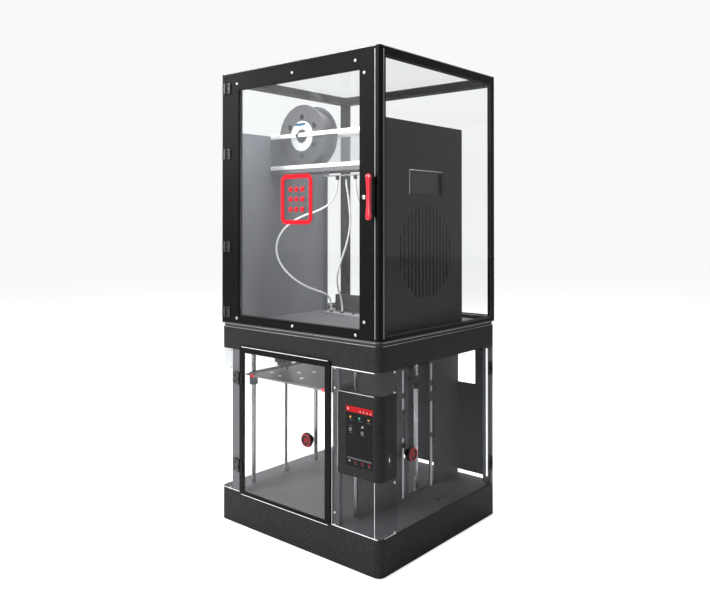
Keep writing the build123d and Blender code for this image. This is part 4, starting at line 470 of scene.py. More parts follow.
class Finishes:
    """Every finish of the machine, made once and handed out by name."""

    def __init__(self) -> None:
        """List the finishes; each is made when first asked for."""
        black = (0.0022, 0.0022, 0.0025)
        clear = (0.985, 0.989, 0.99)
        self.recipes = {recipe.name: recipe for recipe in (
            TexturedCoat("textured_coat", (0.0085, 0.0085, 0.009)),
            TexturedCoat("screen_coat", (0.0065, 0.0065, 0.007), grain=420.0, depth=0.00018),
            Anodised("black_profile", black),
            Anodised("black_profile_y", black, Along.Y),
            Anodised("post_grey", (0.085, 0.085, 0.09), rough=0.42),
            SheetCoat("deck_sheet", (0.105, 0.105, 0.11), 0.4),
            SheetCoat("plate_sheet", (0.1, 0.104, 0.12), 0.42),
            SheetCoat("dark_sheet", (0.012, 0.0125, 0.0145), 0.5, 0.2),
            SheetCoat("bed_sheet", (0.06, 0.06, 0.063), 0.28, 0.5),
            SheetCoat("bay_sheet", (0.032, 0.033, 0.036), 0.45, 0.25),
            SheetCoat("floor_sheet", (0.05, 0.05, 0.053), 0.46),
            DrawnSteel("ground_rod", (0.4, 0.4, 0.41)),
            DrawnSteel("cross_rod", (0.7, 0.7, 0.71), Along.X, 0.22),
            DrawnSteel("nickel", (0.7, 0.69, 0.67), Along.X, 0.22),
            DrawnSteel("hinge_silver", (0.07, 0.07, 0.073), Along.Z, 0.36),
            Anodised("clear_anodised", (0.42, 0.42, 0.43), Along.X, 0.36, 0.85),
            Moulded("black_moulding", (0.006, 0.006, 0.0065), gloss=0.2),
            Moulded("knob_black", (0.005, 0.005, 0.0055), 0.3, coat=0.12, gloss=0.15),
            Moulded("red_gloss", (0.5, 0.004, 0.02), 0.2, 500.0, 0.00002, 0.35),
            Moulded("red_trim", (0.55, 0.003, 0.012), 0.4, gloss=0.1),
            Moulded("white_moulding", (0.86, 0.86, 0.85), 0.4),
            Moulded("reel_grey", (0.05, 0.05, 0.055), 0.3, coat=0.25),
            Moulded("hub_black", (0.01, 0.01, 0.011), 0.35),
            Moulded("tube_white", (0.9, 0.9, 0.89), 0.28, 300.0, 0.00003, 0.3),
            Moulded("gasket", (0.012, 0.012, 0.012), 0.7, 420.0, 0.0001),
            # painted highlight: a bright coat for thin strips that stand in for light caught on glass edges
            Moulded("painted_edge_highlight", (0.8, 0.82, 0.84), 0.2, coat=0.5, gloss=0.6),
            Moulded("board_green", (0.01, 0.09, 0.035), 0.35, coat=0.4),
            ClearSheet("clear_glass", clear),
            ClearSheet("corner_glass", (0.87, 0.875, 0.88), 0.012, (0.4, 0.4, 0.41)),
            ClearSheet("door_glass", clear, haze=0.06),
            ClearSheet("cabinet_glass", clear, haze=0.006, head_on=0.012),
            ClearSheet("bay_glass", (0.95, 0.955, 0.96), 0.03, (0.3, 0.3, 0.31)),
            ClearSheet("rack_clear", (0.93, 0.935, 0.94), 0.05),
            Wound("filament_turns", (0.03, 0.031, 0.034), at(152, 225, 1172)),
            Toothed("toothed_belt", (0.02, 0.02, 0.021)),
            Moulded("display_glass", (0.0012, 0.0012, 0.0016), 0.12, 40.0, 0.000002, gloss=0.08),
            Lit("lit_red", (0.62, 0.004, 0.01), 0.9),
            Lit("lit_white", (0.75, 0.78, 0.8), 0.9),
            Lit("lit_green", (0.1, 0.55, 0.25), 0.9),
            Lit("lit_amber", (0.75, 0.45, 0.08), 0.9),
            Lit("lit_dim", (0.16, 0.17, 0.19), 0.6),
            # painted glow: the reel label's printed blue stripe, made to glow though it is no lamp
            Lit("print_blue_painted_glow", (0.02, 0.4, 0.8), 0.25),
            # painted glow: the bright strip in the bay, which is no lamp
            Lit("painted_glow_strip", (0.85, 0.87, 0.9), 1.6),
            # painted glow: for the bright slot edges in the bay, which are no lamp
            Lit("slot_painted_glow", (0.75, 0.76, 0.78), 0.5),
        )}
        self.made: dict[str, bpy.types.Material] = {}

    def get(self, name: str) -> bpy.types.Material:
        """Give a finish by name."""
        if name not in self.made:
            self.made[name] = self.recipes[name].make()
        return self.made[name]

    def add(self, recipe: Finish) -> None:
        """Add one more finish."""
        self.recipes[recipe.name] = recipe

    def dress(self, frame: dict, finish: str, *nodes: str) -> None:
        """Give solids of the frame a finish."""
        for node in nodes:
            mesh = frame["nodes"][node].data
            mesh.materials.clear()
            mesh.materials.append(self.get(finish))
            log.info("solid %s: %s", node, finish)


# --- modelling toolkit
TOWARDS_FRONT = Vector((0, -1, 0))
TOWARDS_RIGHT = Vector((1, 0, 0))
TOWARDS_REAR = Vector((0, 1, 0))
TOWARDS_LEFT = Vector((-1, 0, 0))
UPWARDS = Vector((0, 0, 1))
SHARP_EDGE = math.radians(38)
Box = tuple[Span, Span, Span]


def facing_matrix(centre: Vector, facing: Vector) -> Matrix:
    """Give the place of a plane that faces a way, with its Y as nearly upwards as it can be.

    Args:
        centre: The plane's origin.
        facing: Its outward normal.

    Returns:
        The matrix from the plane to the machine.
    """
    outward = facing.normalized()
    side = UPWARDS.cross(outward)
    if side.length < 1e-6:
        side = Vector((1, 0, 0))
    side.normalize()
    rise = outward.cross(side)
    return Matrix(((side.x, rise.x, outward.x, centre.x), (side.y, rise.y, outward.y, centre.y),
                   (side.z, rise.z, outward.z, centre.z), (0, 0, 0, 1)))


class Form:
    """One bmesh under construction, in the machine's own metres; sizes are given in millimetres."""

    def __init__(self) -> None:
        """Start empty."""
        self.mesh = bmesh.new()

    def _settle(self, verts: list, place: Matrix) -> None:
        """Turn the faces round some vertices outwards, then put the vertices in place."""
        faces = list({face for vert in verts for face in vert.link_faces})
        bmesh.ops.recalc_face_normals(self.mesh, faces=faces)
        bmesh.ops.transform(self.mesh, matrix=place, verts=verts)

    def _spin(self, verts: list, edges: list, place: Matrix, steps: int) -> None:
        """Spin an outline round the Z axis and put what that makes in place.

        Args:
            verts: The outline's vertices.
            edges: Its edges.
            place: Where the axis stands.
            steps: Faces round the axis.
        """
        before = set(self.mesh.verts) - set(verts)
        bmesh.ops.spin(self.mesh, geom=verts + edges, cent=(0, 0, 0), axis=(0, 0, 1), dvec=(0, 0, 0),
                       angle=2 * math.pi, steps=steps, use_merge=True)
        made = [vert for vert in self.mesh.verts if vert not in before]
        bmesh.ops.remove_doubles(self.mesh, verts=made, dist=1e-7)
        self._settle([vert for vert in self.mesh.verts if vert not in before], place)

    def _raise(self, faces: list, thick: float) -> list:
        """Extrude faces along Z by a thickness and give the new vertices."""
        raised = bmesh.ops.extrude_face_region(self.mesh, geom=faces)["geom"]
        top = [item for item in raised if isinstance(item, bmesh.types.BMVert)]
        bmesh.ops.translate(self.mesh, vec=(0, 0, thick * MM), verts=top)
        return top

    def bar(self, x: Span, y: Span, z: Span, bevel: float = 0.2, segments: int = 1) -> None:
        """Add a bevelled bar between spans.

        Args:
            x: Span right of the left face.
            y: Span behind the front face.
            z: Span of heights.
            bevel: Width of the bevel on every edge.
            segments: Faces across the bevel.
        """
        low, high = at(x[0], y[0], z[0]), at(x[1], y[1], z[1])
        made = bmesh.ops.create_cube(self.mesh, size=1.0)["verts"]
        bmesh.ops.scale(self.mesh, vec=high - low, verts=made)
        bmesh.ops.translate(self.mesh, vec=(low + high) / 2, verts=made)
        edges = list({edge for vert in made for edge in vert.link_edges})
        bmesh.ops.bevel(self.mesh, geom=edges, offset=bevel * MM, offset_type="OFFSET", affect="EDGES",
                        segments=segments, profile=0.5, material=-1)

    def bars(self, boxes: Iterable[Box], bevel: float = 0.2) -> Form:
        """Add a bar for each box and give the form."""
        for box in boxes:
            self.bar(*box, bevel)
        return self

    def turned(self, profile: Sequence[tuple[float, float]], place: Matrix, steps: int) -> Form:
        """Spin an outline into a closed round piece.

        Args:
            profile: Points of radius and height; the ends lie on the axis.
            place: Where the piece's axis, its Z, stands.
            steps: Faces round the axis.

        Returns:
            The form.
        """
        points = [self.mesh.verts.new((radius * MM, 0.0, height * MM)) for radius, height in profile]
        edges = [self.mesh.edges.new(pair) for pair in zip(points, points[1:])]
        self._spin(points, edges, place, steps)
        return self

    def ring(self, centre: Vector, facing: Vector, radius: float, thick: float, steps: int,
             sides: int) -> None:
        """Add a round ring of round section."""
        section = Matrix.Translation((radius * MM, 0, 0)) @ Matrix.Rotation(math.pi / 2, 4, "X")
        circle = bmesh.ops.create_circle(self.mesh, segments=sides, radius=thick * MM,
                                         matrix=section)["verts"]
        edges = list({edge for vert in circle for edge in vert.link_edges})
        self._spin(circle, edges, facing_matrix(centre, facing), steps)

    def screws(self, places: Iterable[Sequence[float]], facing: Vector, radius: float,
               height: float) -> Form:
        """Add domed screw heads with sockets, standing on a surface.

        Args:
            places: The middle of each, in millimetres.
            facing: The way that they face.
            radius: Their radius.
            height: Their height.

        Returns:
            The form.
        """
        socket = radius * 0.5
        profile = [(0.0, -0.2), (radius, -0.2), (radius, height * 0.35), (radius * 0.86, height * 0.8),
                   (socket * 1.16, height), (socket, height * 0.98), (socket, height * 0.35),
                   (0.0, height * 0.3)]
        for place in places:
            self.turned(profile, facing_matrix(at(*place), facing), 18)
        return self

    def plate(self, face: Matrix, width: float, height: float, radius: float, thick: float,
              lift: float = 0.0, steps: int = 5) -> Form:
        """Add a thin plate with rounded corners on a plane.

        Args:
            face: The plane, whose Z points outwards and whose origin is the plate's middle.
            width: Size along the plane's X.
            height: Size along the plane's Y.
            radius: Radius of the corners.
            thick: How far the plate stands out.
            lift: How far its back lies out of the plane.
            steps: Faces round each corner.

        Returns:
            The form.
        """
        made = bmesh.ops.create_grid(self.mesh, x_segments=1, y_segments=1, size=0.5)["verts"]
        bmesh.ops.scale(self.mesh, vec=(width * MM, height * MM, 1.0), verts=made)
        if radius > 0:
            made = bmesh.ops.bevel(self.mesh, geom=made, offset=radius * MM, offset_type="OFFSET",
                                   affect="VERTICES", segments=steps, profile=0.5, material=-1)["verts"]
        top = self._raise(list({front for vert in made for front in vert.link_faces}), thick)
        every = [vert for vert in {*made, *top} if vert.is_valid]
        self._settle(every, face @ Matrix.Translation((0, 0, lift * MM)))
        return self

    def border(self, face: Matrix, size: Span, radius: float, width: float, thick: float) -> None:
        """Add a flat frame with rounded corners on a plane.

        Args:
            face: The plane, whose Z points outwards and whose origin is the frame's middle.
            size: Outer width and height.
            radius: Outer radius of the corners.
            width: Width of the frame's bars.
            thick: How far the frame stands out.
        """
        steps = 8
        loops = []
        for inset in (0.0, width):
            half_x, half_y = size[0] / 2 - inset, size[1] / 2 - inset
            bend = max(radius - inset, 0.5)
            points = []
            for corner, (sign_x, sign_y) in enumerate(((1, 1), (-1, 1), (-1, -1), (1, -1))):
                for step in range(steps + 1):
                    turn = math.pi / 2 * (corner + step / steps)
                    points.append((sign_x * (half_x - bend) + bend * math.cos(turn),
                                   sign_y * (half_y - bend) + bend * math.sin(turn)))
            loops.append([self.mesh.verts.new((x * MM, y * MM, 0.0)) for x, y in points])
        outer, inner = loops
        flat = [self.mesh.faces.new((outer[i - 1], outer[i], inner[i], inner[i - 1]))
                for i in range(len(outer))]
        self._settle([*outer, *inner, *self._raise(flat, thick)], face)

    def loft(self, sections: Sequence[Sequence[Vector]]) -> None:
        """Join closed outlines of equal count, given in metres, into one capped skin."""
        rings = [[self.mesh.verts.new(point) for point in section] for section in sections]
        for low, high in zip(rings, rings[1:]):
            for i in range(len(low)):
                self.mesh.faces.new((low[i - 1], low[i], high[i], high[i - 1]))
        self.mesh.faces.new(rings[0][::-1])
        self.mesh.faces.new(rings[-1])
        self._settle([vert for ring in rings for vert in ring], Matrix.Identity(4))

    def piece(self, name: str, body: str, finish: bpy.types.Material) -> bpy.types.Object:
        """Finish the form as a named piece that rides on a body.

        Args:
            name: The piece's name.
            body: The body it moves with.
            finish: Its material.
            slot: The record's material slot.

        Returns:
            The piece.
        """
        data = bpy.data.meshes.new(name)
        for face in self.mesh.faces:
            face.smooth = True
        self.mesh.normal_update()
        for edge in self.mesh.edges:
            edge.smooth = len(edge.link_faces) == 2 and edge.calc_face_angle(0.0) < SHARP_EDGE
        self.mesh.to_mesh(data)
        self.mesh.free()
        made = bpy.data.objects.new(name, data)
        bpy.context.scene.collection.objects.link(made)
        data.materials.append(finish)
        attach(made, body)
        log.info("piece %s on %s: %d faces", name, body, len(data.polygons))
        return made


@dataclass
class Assembly:
    """A sub-assembly, which dresses its own solids and adds the pieces that they lack."""

    frame: dict
    finishes: Finishes
    looks = {}  # for each finish, the solids that have it

    def add(self, form: Form, name: str, finish: str, slot: str,
            body: str = "printer_body") -> bpy.types.Object:
        """Finish a form as a named piece on a body."""
        return form.piece(name, body, self.finishes.get(finish))

    def dress(self) -> None:
        """Give the solids their finishes."""
        for finish, nodes in self.looks.items():
            self.finishes.dress(self.frame, finish, *nodes)

    def build(self) -> None:
        """Add the pieces; this one has none."""

    def make(self) -> None:
        """Dress the solids, then add the pieces."""
        self.dress()
        self.build()


# --- filament tubes
@dataclass
class FilamentTubes(Assembly):
    """The white tubes that lead filament from the rack down to the printer."""

    diameter: float = 0.006
    outlet_y: float = 230.0
    outlet_end: float = 1032.0
    inlet_y: float = 355.0
    inlet_end: float = 612.0
    stub: float = 18.0

    def lay(self, name: str, node: str, outlet_x: float, inlet_x: float, length: float,
            route: Sequence[tuple[float, float, float]]) -> None:
        """Lay one tube as a smooth curve through its route.

        Args:
            name: The piece's name.
            node: The solid that it stands for.
            outlet_x: Where it leaves the rack.
            inlet_x: Where it enters the printer.
            length: Its real length in metres.
            route: Its points between the straight ends, in millimetres.
        """
        above = [(outlet_x, self.outlet_y, self.outlet_end - drop) for drop in (0.0, self.stub)]
        below = [(inlet_x, self.inlet_y, self.inlet_end + rise) for rise in (self.stub, 0.0)]
        points = [at(*point) for point in (*above, *route, *below)]
        curve = bpy.data.curves.new(name, "CURVE")
        curve.dimensions = "3D"
        curve.bevel_depth = self.diameter / 2
        curve.bevel_resolution = 5
        curve.resolution_u = 12
        curve.use_fill_caps = True
        spline = curve.splines.new("NURBS")
        spline.points.add(len(points) - 1)
        for control, point in zip(spline.points, points):
            control.co = (*point, 1.0)
        spline.order_u = 3
        spline.use_endpoint_u = True
        curve.materials.append(self.finishes.get("tube_white"))
        tube = bpy.data.objects.new(name, curve)
        bpy.context.scene.collection.objects.link(tube)
        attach(tube, "printer_body")
        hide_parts(node)
        log.info("piece %s: %.3f m", name, length)

    def build(self) -> None:
        """Lay the three tubes."""
        self.lay("feed_tube_left", "filament_tube_1", 271, 132, 0.653, (
            (266, 228, 990), (250, 221, 960), (214, 205, 938), (155, 185, 920), (106, 166, 888),
            (83, 151, 842), (84, 153, 792), (106, 172, 745), (136, 213, 705), (150, 264, 684),
            (146, 310, 672), (136, 343, 654)))
        self.lay("feed_tube_middle", "filament_tube_2", 307, 180, 0.489, (
            (314, 231, 985), (318, 232, 945), (320, 235, 905), (304, 240, 846), (271, 249, 790),
            (237, 264, 736), (210, 298, 695), (189, 338, 662)))
        self.lay("feed_tube_right", "filament_tube_3", 343, 276, 0.487, (
            (346, 232, 990), (356, 238, 950), (372, 246, 905), (384, 252, 850), (382, 260, 795),
            (367, 272, 742), (342, 292, 705), (312, 320, 680), (286, 344, 658)))


# --- cabinet
@dataclass
class Cabinet(Assembly):
    """The glazed cabinet: its profiles, its panes, its plates and what fastens them."""

    top: float = 1353.0
    glass_levels: Span = (609.5, 1328.5)
    looks = {"black_profile": ("cabinet_posts",), "black_profile_y": ("cabinet_rails",),
             "cabinet_glass": ("cabinet_panels",), "floor_sheet": ("cabinet_floor",),
             "gasket": ("cabinet_seal",), "plate_sheet": ("left_side_plate",),
             "dark_sheet": ("right_side_plate",)}

    def build(self) -> None:
        """Add the light lines, the gaskets, the screws, and what lines the plates and the floor."""
        # painted highlight: thin bright bars at the seal, the top edges and the front-right corner stand in
        # for light on those edges
        lines = Form()
        for level, thick in ((586.3, 1.2), (595.4, 1.0)):
            rise = (level, level + thick)
            lines.bars([((16, 604), (1.2, 3.4), rise), ((16, 604), (570.6, 572.8), rise),
                        ((1.2, 3.4), (16, 558), rise), ((616.6, 618.8), (16, 558), rise)], 0.3)
        lines.bars([((12, 608), (-0.1, 0.6), (1351.2, 1352.4)), ((619.4, 620.1), (14, 560), (1351.2, 1352.4)),
                    ((603.0, 604.3), (-0.2, 0.7), (606, 1344)), ((619.3, 620.2), (15.4, 16.7), (606, 1344))])
        self.add(lines, "cabinet_painted_highlight_lines", "clear_anodised", "silver")

        low, high = self.glass_levels
        gasket = Form()
        for x in ((1.0, 2.0), (618.0, 619.0)):
            gasket.bars([(x, (20.6, 553.4), (low, low + 5)), (x, (20.6, 553.4), (high - 5, high)),
                         (x, (20.6, 25.6), (low, high)), (x, (548.4, 553.4), (low, high))])
        gasket.bars(((22.6, 603.8), (572.0, 573.0), z) for z in ((low, low + 5), (high - 5, high)))
        gasket.bars((x, (572.0, 573.0), (low, high)) for x in ((22.6, 27.6), (598.8, 603.8)))
        self.add(gasket, "pane_gaskets", "gasket", "rubber")

        screws = Form()
        screws.screws([(x, y, self.top - 1.4) for x in (11.0, 612.0) for y in (10.0, 564.0)],
                      UPWARDS, 3.2, 1.3)
        for x, facing in ((1.5, TOWARDS_LEFT), (618.5, TOWARDS_RIGHT)):
            screws.screws([(x, y, z) for y in (10.0, 564.0) for z in (612.0, 968.0, 1338.0)],
                          facing, 2.6, 1.4)
        screws.screws([(x, 572.6, z) for z in (1335.0, 604.5) for x in (80.0, 310.0, 540.0)],
                      TOWARDS_REAR, 2.6, 1.3)
        self.add(screws, "cabinet_frame_screws", "nickel", "silver")

        self.add(Form().bars([((582.05, 582.6), (168.6, 324.4), (981.6, 1044.4))], 0.1),
                 "pocket_lining", "hub_black", "black_plastic")
        self.add(Form().bars([((589.8, 590.5), (167.0, 326.0), (1045.2, 1047.0)),
                              ((589.8, 590.5), (165.8, 167.4), (980.0, 1046.0))]),
                 "pocket_lip", "nickel", "silver")
        self.add(Form().turned([(0, 0), (134, 0), (134, 4.5), (133, 5.0), (0, 5.0)],
                               facing_matrix(at(587.9, 244.0, 820.0), TOWARDS_LEFT), 64),
                 "vent_filter", "gasket", "rubber")
        cover = Form()
        cover.bar((81.0, 421.0), (430.6, 450.0), (600.1, 656.0), 1.5, 2)
        self.add(cover, "floor_cover", "dark_sheet", "grey_sheet")


@dataclass
class CabinetDoor(Assembly):
    """The glazed door of the cabinet, with its screws, its badge, its seal and its hinges."""

    badge_middle: tuple[float, float, float] = (318.0, 6.0, 967.0)
    badge_size: Span = (122.0, 140.0)
    hinge_levels: tuple[float, ...] = (632.0, 829.0, 1109.0, 1308.0)
    screw_places: tuple[tuple[float, float], ...] = (
        (72, 1318), (306, 1321), (538, 1322), (568, 1287), (568, 647), (72, 615), (307, 613), (539, 611))
    looks = {"black_profile": ("cabinet_door_frame",), "door_glass": ("cabinet_door_glass",),
             "hinge_silver": ("cabinet_door_leaves", "fixed_hinge_leaves")}

    def badge(self) -> None:
        """Stick a plain red badge, a rounded frame round a grid of dots, on the glass."""
        face = facing_matrix(at(*self.badge_middle), TOWARDS_FRONT)
        badge = Form()
        badge.border(face, self.badge_size, 20.0, 12.0, 1.2)
        for column in (-1, 0, 1):
            for row in (-1, 0, 1):
                dot = Matrix.Translation((column * 23.0 * MM, row * 28.0 * MM, 0))
                badge.turned([(0, 0), (7.5, 0), (7.5, 0.9), (7.1, 1.2), (0, 1.2)], face @ dot, 28)
        self.add(badge, "door_badge", "red_trim", "red_plastic", "cabinet_door")

    def build(self) -> None:
        """Add the screws, the badge, the seal round the glass and the screws of the hinges."""
        screws = Form().screws([(x, 0.3, z) for x, z in self.screw_places], TOWARDS_FRONT, 4.2, 1.8)
        screws.screws([(568, 0.3, 967)], TOWARDS_FRONT, 6.0, 2.4)
        self.add(screws, "door_frame_screws", "nickel", "silver", "cabinet_door")
        self.badge()

        x, y, z = (79.3, 552.7), (4.6, 6.2), (624.8, 1299.2)
        seal = Form().bars([((x[0], x[0] + 2), y, z), ((x[1] - 2, x[1]), y, z),
                            (x, y, (z[0], z[0] + 2)), (x, y, (z[1] - 2, z[1]))], 0.3)
        self.add(seal, "door_glass_seal", "gasket", "rubber", "cabinet_door")

        for name, body, across in (("door_hinge_screws", "cabinet_door", 34.6),
                                   ("post_hinge_screws", "printer_body", 12.8)):
            places = [(across, -2.3, level + rise) for level in self.hinge_levels for rise in (-7.75, 7.75)]
            self.add(Form().screws(places, TOWARDS_FRONT, 2.9, 1.5), name, "hub_black", "black_plastic", body)


@dataclass
class DoorHandle(Assembly):
    """The waisted red bar of the cabinet door and the black foot that it is screwed to."""

    middle: tuple[float, float] = (598.0, 967.0)
    height: float = 118.0
    end_width: float = 16.0
    waist: float = 11.5
    foot: Span = (-0.3, -15.5)
    reach: float = -23.8
    levels: int = 32

    def _section(self, z: float, half: float, front: float, back: float) -> list[Vector]:
        """Give one level's outline, flat behind and softly rounded in front."""
        points = [(half, back), (half, front + 3.0), (half * 0.86, front + 0.9), (half * 0.45, front),
                  (-half * 0.45, front), (-half * 0.86, front + 0.9), (-half, front + 3.0), (-half, back)]
        return [at(self.middle[0] + x, y, self.middle[1] + z) for x, y in points]

    def build(self) -> None:
        """Loft the bar, add the foot and its two pillars, and put both in the solids' place."""
        sections = []
        reach = self.height / 2
        for step in range(self.levels + 1):
            z = -reach + self.height * step / self.levels
            across = abs(z) / reach
            half = (self.waist + (self.end_width - self.waist) * min(1.0, across * 1.15) ** 2) / 2
            tip = max(0.0, (abs(z) - (reach - 7.0)) / 7.0)
            half *= math.sqrt(max(0.04, 1.0 - tip ** 2))
            front = self.reach + 2.2 * tip ** 2 + 1.4 * (1.0 - min(1.0, across * 1.2) ** 2)
            sections.append(self._section(z, half, front, self.foot[1] - 0.2))
        bar = Form()
        bar.loft(sections)
        red = self.add(bar, "handle_bar", "red_gloss", "red_plastic", "cabinet_door")
        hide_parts("door_handle")
        base = Form()
        x, z = self.middle
        base.bar((x - 7.5, x + 7.5), (-6.0, self.foot[0]), (z - 51.5, z + 51.5), 1.2, 3)
        for rise in (-44.0, 44.0):
            base.bar((x - 6.5, x + 6.5), (self.foot[1], -5.5), (z + rise - 7.5, z + rise + 7.5), 1.2, 3)
        black = self.add(base, "handle_foot", "black_moulding", "black_plastic", "cabinet_door")
        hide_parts("handle_base")


@dataclass
class SpoolRack(Assembly):
    """The clear rack, its rails and tray, and the reel that hangs in it."""

    reel: tuple[float, float, float] = (152.0, 195.0, 1172.0)
    looks = {"rack_clear": ("rack_plates",), "white_moulding": ("rack_rails",), "deck_sheet": ("rack_tray",),
             "hub_black": ("spool_spindle", "tube_fittings"), "reel_grey": ("spool_reel",),
             "filament_turns": ("spool_winding",), "clear_anodised": ("tube_brackets",)}

    def build(self) -> None:
        """Add the reel's blank label with its stripe and the rack's screws."""
        face = facing_matrix(at(*self.reel), TOWARDS_FRONT)
        label = Form().turned([(22.0, -0.1), (47.0, -0.1), (47.0, 0.25), (46.6, 0.4), (22.4, 0.4),
                               (22.0, 0.25), (22.0, -0.1)], face, 64)
        self.add(label, "reel_label", "white_moulding", "grey_plastic", "filament_reel")
        # the stripe's blue is print; its glow is painted glow
        stripe = face @ Matrix.Translation((-6.0 * MM, 37.0 * MM, 0))
        self.add(Form().plate(stripe, 48.0, 9.0, 3.0, 0.3, 0.35),
                 "reel_label_stripe", "print_blue_painted_glow", "grey_plastic", "filament_reel")
        places = [(x, 175.2, z) for x in (46.0, 228.0, 410.0, 574.0) for z in (1074.0, 1173.0)]
        self.add(Form().screws(places, TOWARDS_FRONT, 2.4, 1.2), "rack_screws", "nickel", "silver")


# --- lower unit
@dataclass
class Knob(Assembly):
    """A round pull knob with a red ring round its face."""

    name: str
    node: str
    body: str
    seat: Vector
    facing: Vector
    radius: float = 19.5
    height: float = 21.0
    rib_count: int = 24

    def build(self) -> None:
        """Turn the knob, then add its ribbed rim, its red ring and the two lines on its face."""
        place = facing_matrix(self.seat, self.facing)
        r, h = self.radius, self.height
        knob = Form().turned([(0, 0.1), (11.0, 0.1), (11.0, 1.8), (8.6, 3.2), (8.6, 7.0), (r * 0.7, 9.2),
                              (r - 1.4, 10.4), (r - 0.4, 11.6), (r - 0.4, h - 3.0), (r - 1.6, h - 0.9),
                              (r - 3.6, h), (r - 6.4, h - 0.5), (r - 7.4, h - 1.6), (0, h - 2.0)], place, 60)
        body = self.add(knob, f"{self.name}_body", "knob_black", "black_plastic", self.body)
        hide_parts(self.node)
        ribs = Form()
        on_rim = Matrix.Translation(((r - 0.7) * MM, 0, 14.6 * MM)) @ Matrix.Rotation(math.pi / 2, 4, "Y")
        for index in range(self.rib_count):
            turn = place @ Matrix.Rotation(2 * math.pi * index / self.rib_count, 4, "Z")
            ribs.plate(turn @ on_rim, 6.4, 2.2, 0.8, 0.9)
        self.add(ribs, f"{self.name}_ribs", "knob_black", "black_plastic", self.body)
        ring = Form()
        ring.ring(self.seat + self.facing * ((h - 0.2) * MM), self.facing, r - 3.6, 0.95, 60, 10)
        self.add(ring, f"{self.name}_ring", "red_trim", "red_plastic", self.body)
        lines = Form()
        for side in (-1, 1):
            lines.plate(place @ Matrix.Translation((side * 3.5 * MM, 0, (h - 2.1) * MM)), 1.7, 13.0, 0.8, 1.1)
        self.add(lines, f"{self.name}_lines", "red_trim", "red_plastic", self.body)


@dataclass
class LowerUnit(Assembly):
    """The plinth, the glazed chamber and the head block."""

    deck: float = 100.0
    slots: tuple[tuple[float, tuple[Span, ...]], ...] = (
        (264.4, ((104, 208), (208, 249), (266, 278), (360, 392), (409, 473))),
        (407.5, ((104, 216), (216, 249), (265, 277), (277, 359), (390, 405), (424, 473))))
    looks = {"textured_coat": ("base_plinth", "head_shell"), "gasket": ("rubber_feet",),
             "deck_sheet": ("deck_plate",), "post_grey": ("frame_posts",), "corner_glass": ("lower_windows",),
             "bay_sheet": ("side_partition",), "dark_sheet": ("rear_panel",)}

    def build(self) -> None:
        """Add the window screws, the bright trims, the grommets and the strips in the bay."""
        screws = Form().screws([(x, 0.2, z) for z in (517.0, 465.0, 136.0, 104.0) for x in (46.0, 467.0)],
                               TOWARDS_FRONT, 3.2, 1.6)
        for z in (517.0, 464.0, 234.0, 105.0):
            screws.screws([(619.8, 60.0, z)], TOWARDS_RIGHT, 3.2, 1.6)
            screws.screws([(1.7, 52.0, z)], TOWARDS_LEFT, 3.2, 1.6)
        self.add(screws, "window_screws", "nickel", "silver")

        # painted highlight: thin bright strips on the window edges stand in for light caught by the glass
        # edges
        self.add(Form().bars([
            ((456, 612), (-0.8, -0.1), (101, 103)), ((456, 602), (-0.8, -0.1), (519, 521)),
            ((456.2, 457.4), (-0.8, -0.1), (103, 519)), ((601.6, 602.6), (-0.55, 0.2), (103, 245)),
            ((619.8, 620.3), (18, 66), (101, 102.4)), ((2, 88), (-0.8, -0.1), (100.4, 102)),
        ]), "window_painted_edge_highlight", "painted_edge_highlight", "clear")

        dots = Form()
        for y in (332.0, 363.0):
            dots.turned([(0, 0), (6.5, 0), (6.5, 1.2), (5.8, 1.8), (0, 1.8)],
                        facing_matrix(at(570, y, self.deck), UPWARDS), 24)
        self.add(dots, "deck_grommets", "hub_black", "black_plastic")

        # painted highlight: glowing bars beside the partition's slots stand in for light on the slot edges
        edges = Form()
        for slot_y, spans in self.slots:
            for span in spans:
                for side in (-2.6, 2.6):
                    edges.bar((494.2, 495.2), (slot_y + side - 1.3, slot_y + side + 1.3), span)
        self.add(edges, "partition_slot_painted_highlights", "slot_painted_glow", "silver")
        # painted glow: a glowing strip at the rear of the bay stands in for a bright line; the strip is no
        # lamp
        self.add(Form().bars([((605.5, 611.5), (541.6, 542.8), (121, 514))], 0.4),
                 "bay_painted_glow_strip", "painted_glow_strip", "white_plastic")


@dataclass
class FrontDoor(Assembly):
    """The glazed front door of the build chamber."""

    looks = {"black_profile": ("front_door_frame",), "clear_glass": ("front_door_glass",),
             "black_moulding": ("front_door_leaves",)}

    def build(self) -> None:
        """Add the door's bright edges."""
        # painted highlight: thin bright strips on the door's top and bottom edges stand in for light on those
        # edges
        self.add(Form().bars([((100, 447), (-6.9, -6.2), (533.2, 534.6)),
                              ((100, 447), (-6.9, -6.2), (98.0, 99.4))]),
                 "front_door_painted_edge_highlight", "painted_edge_highlight", "clear", "front_door")


@dataclass
class SideDoor(Assembly):
    """The lightly tinted side door."""

    looks = {"bay_glass": ("side_door_panel",), "black_moulding": ("side_door_leaves",)}


# --- screen box
class Glyph(Enum):
    """The small plain signs shown on the display."""

    ROUND = "round"
    BARS = "bars"


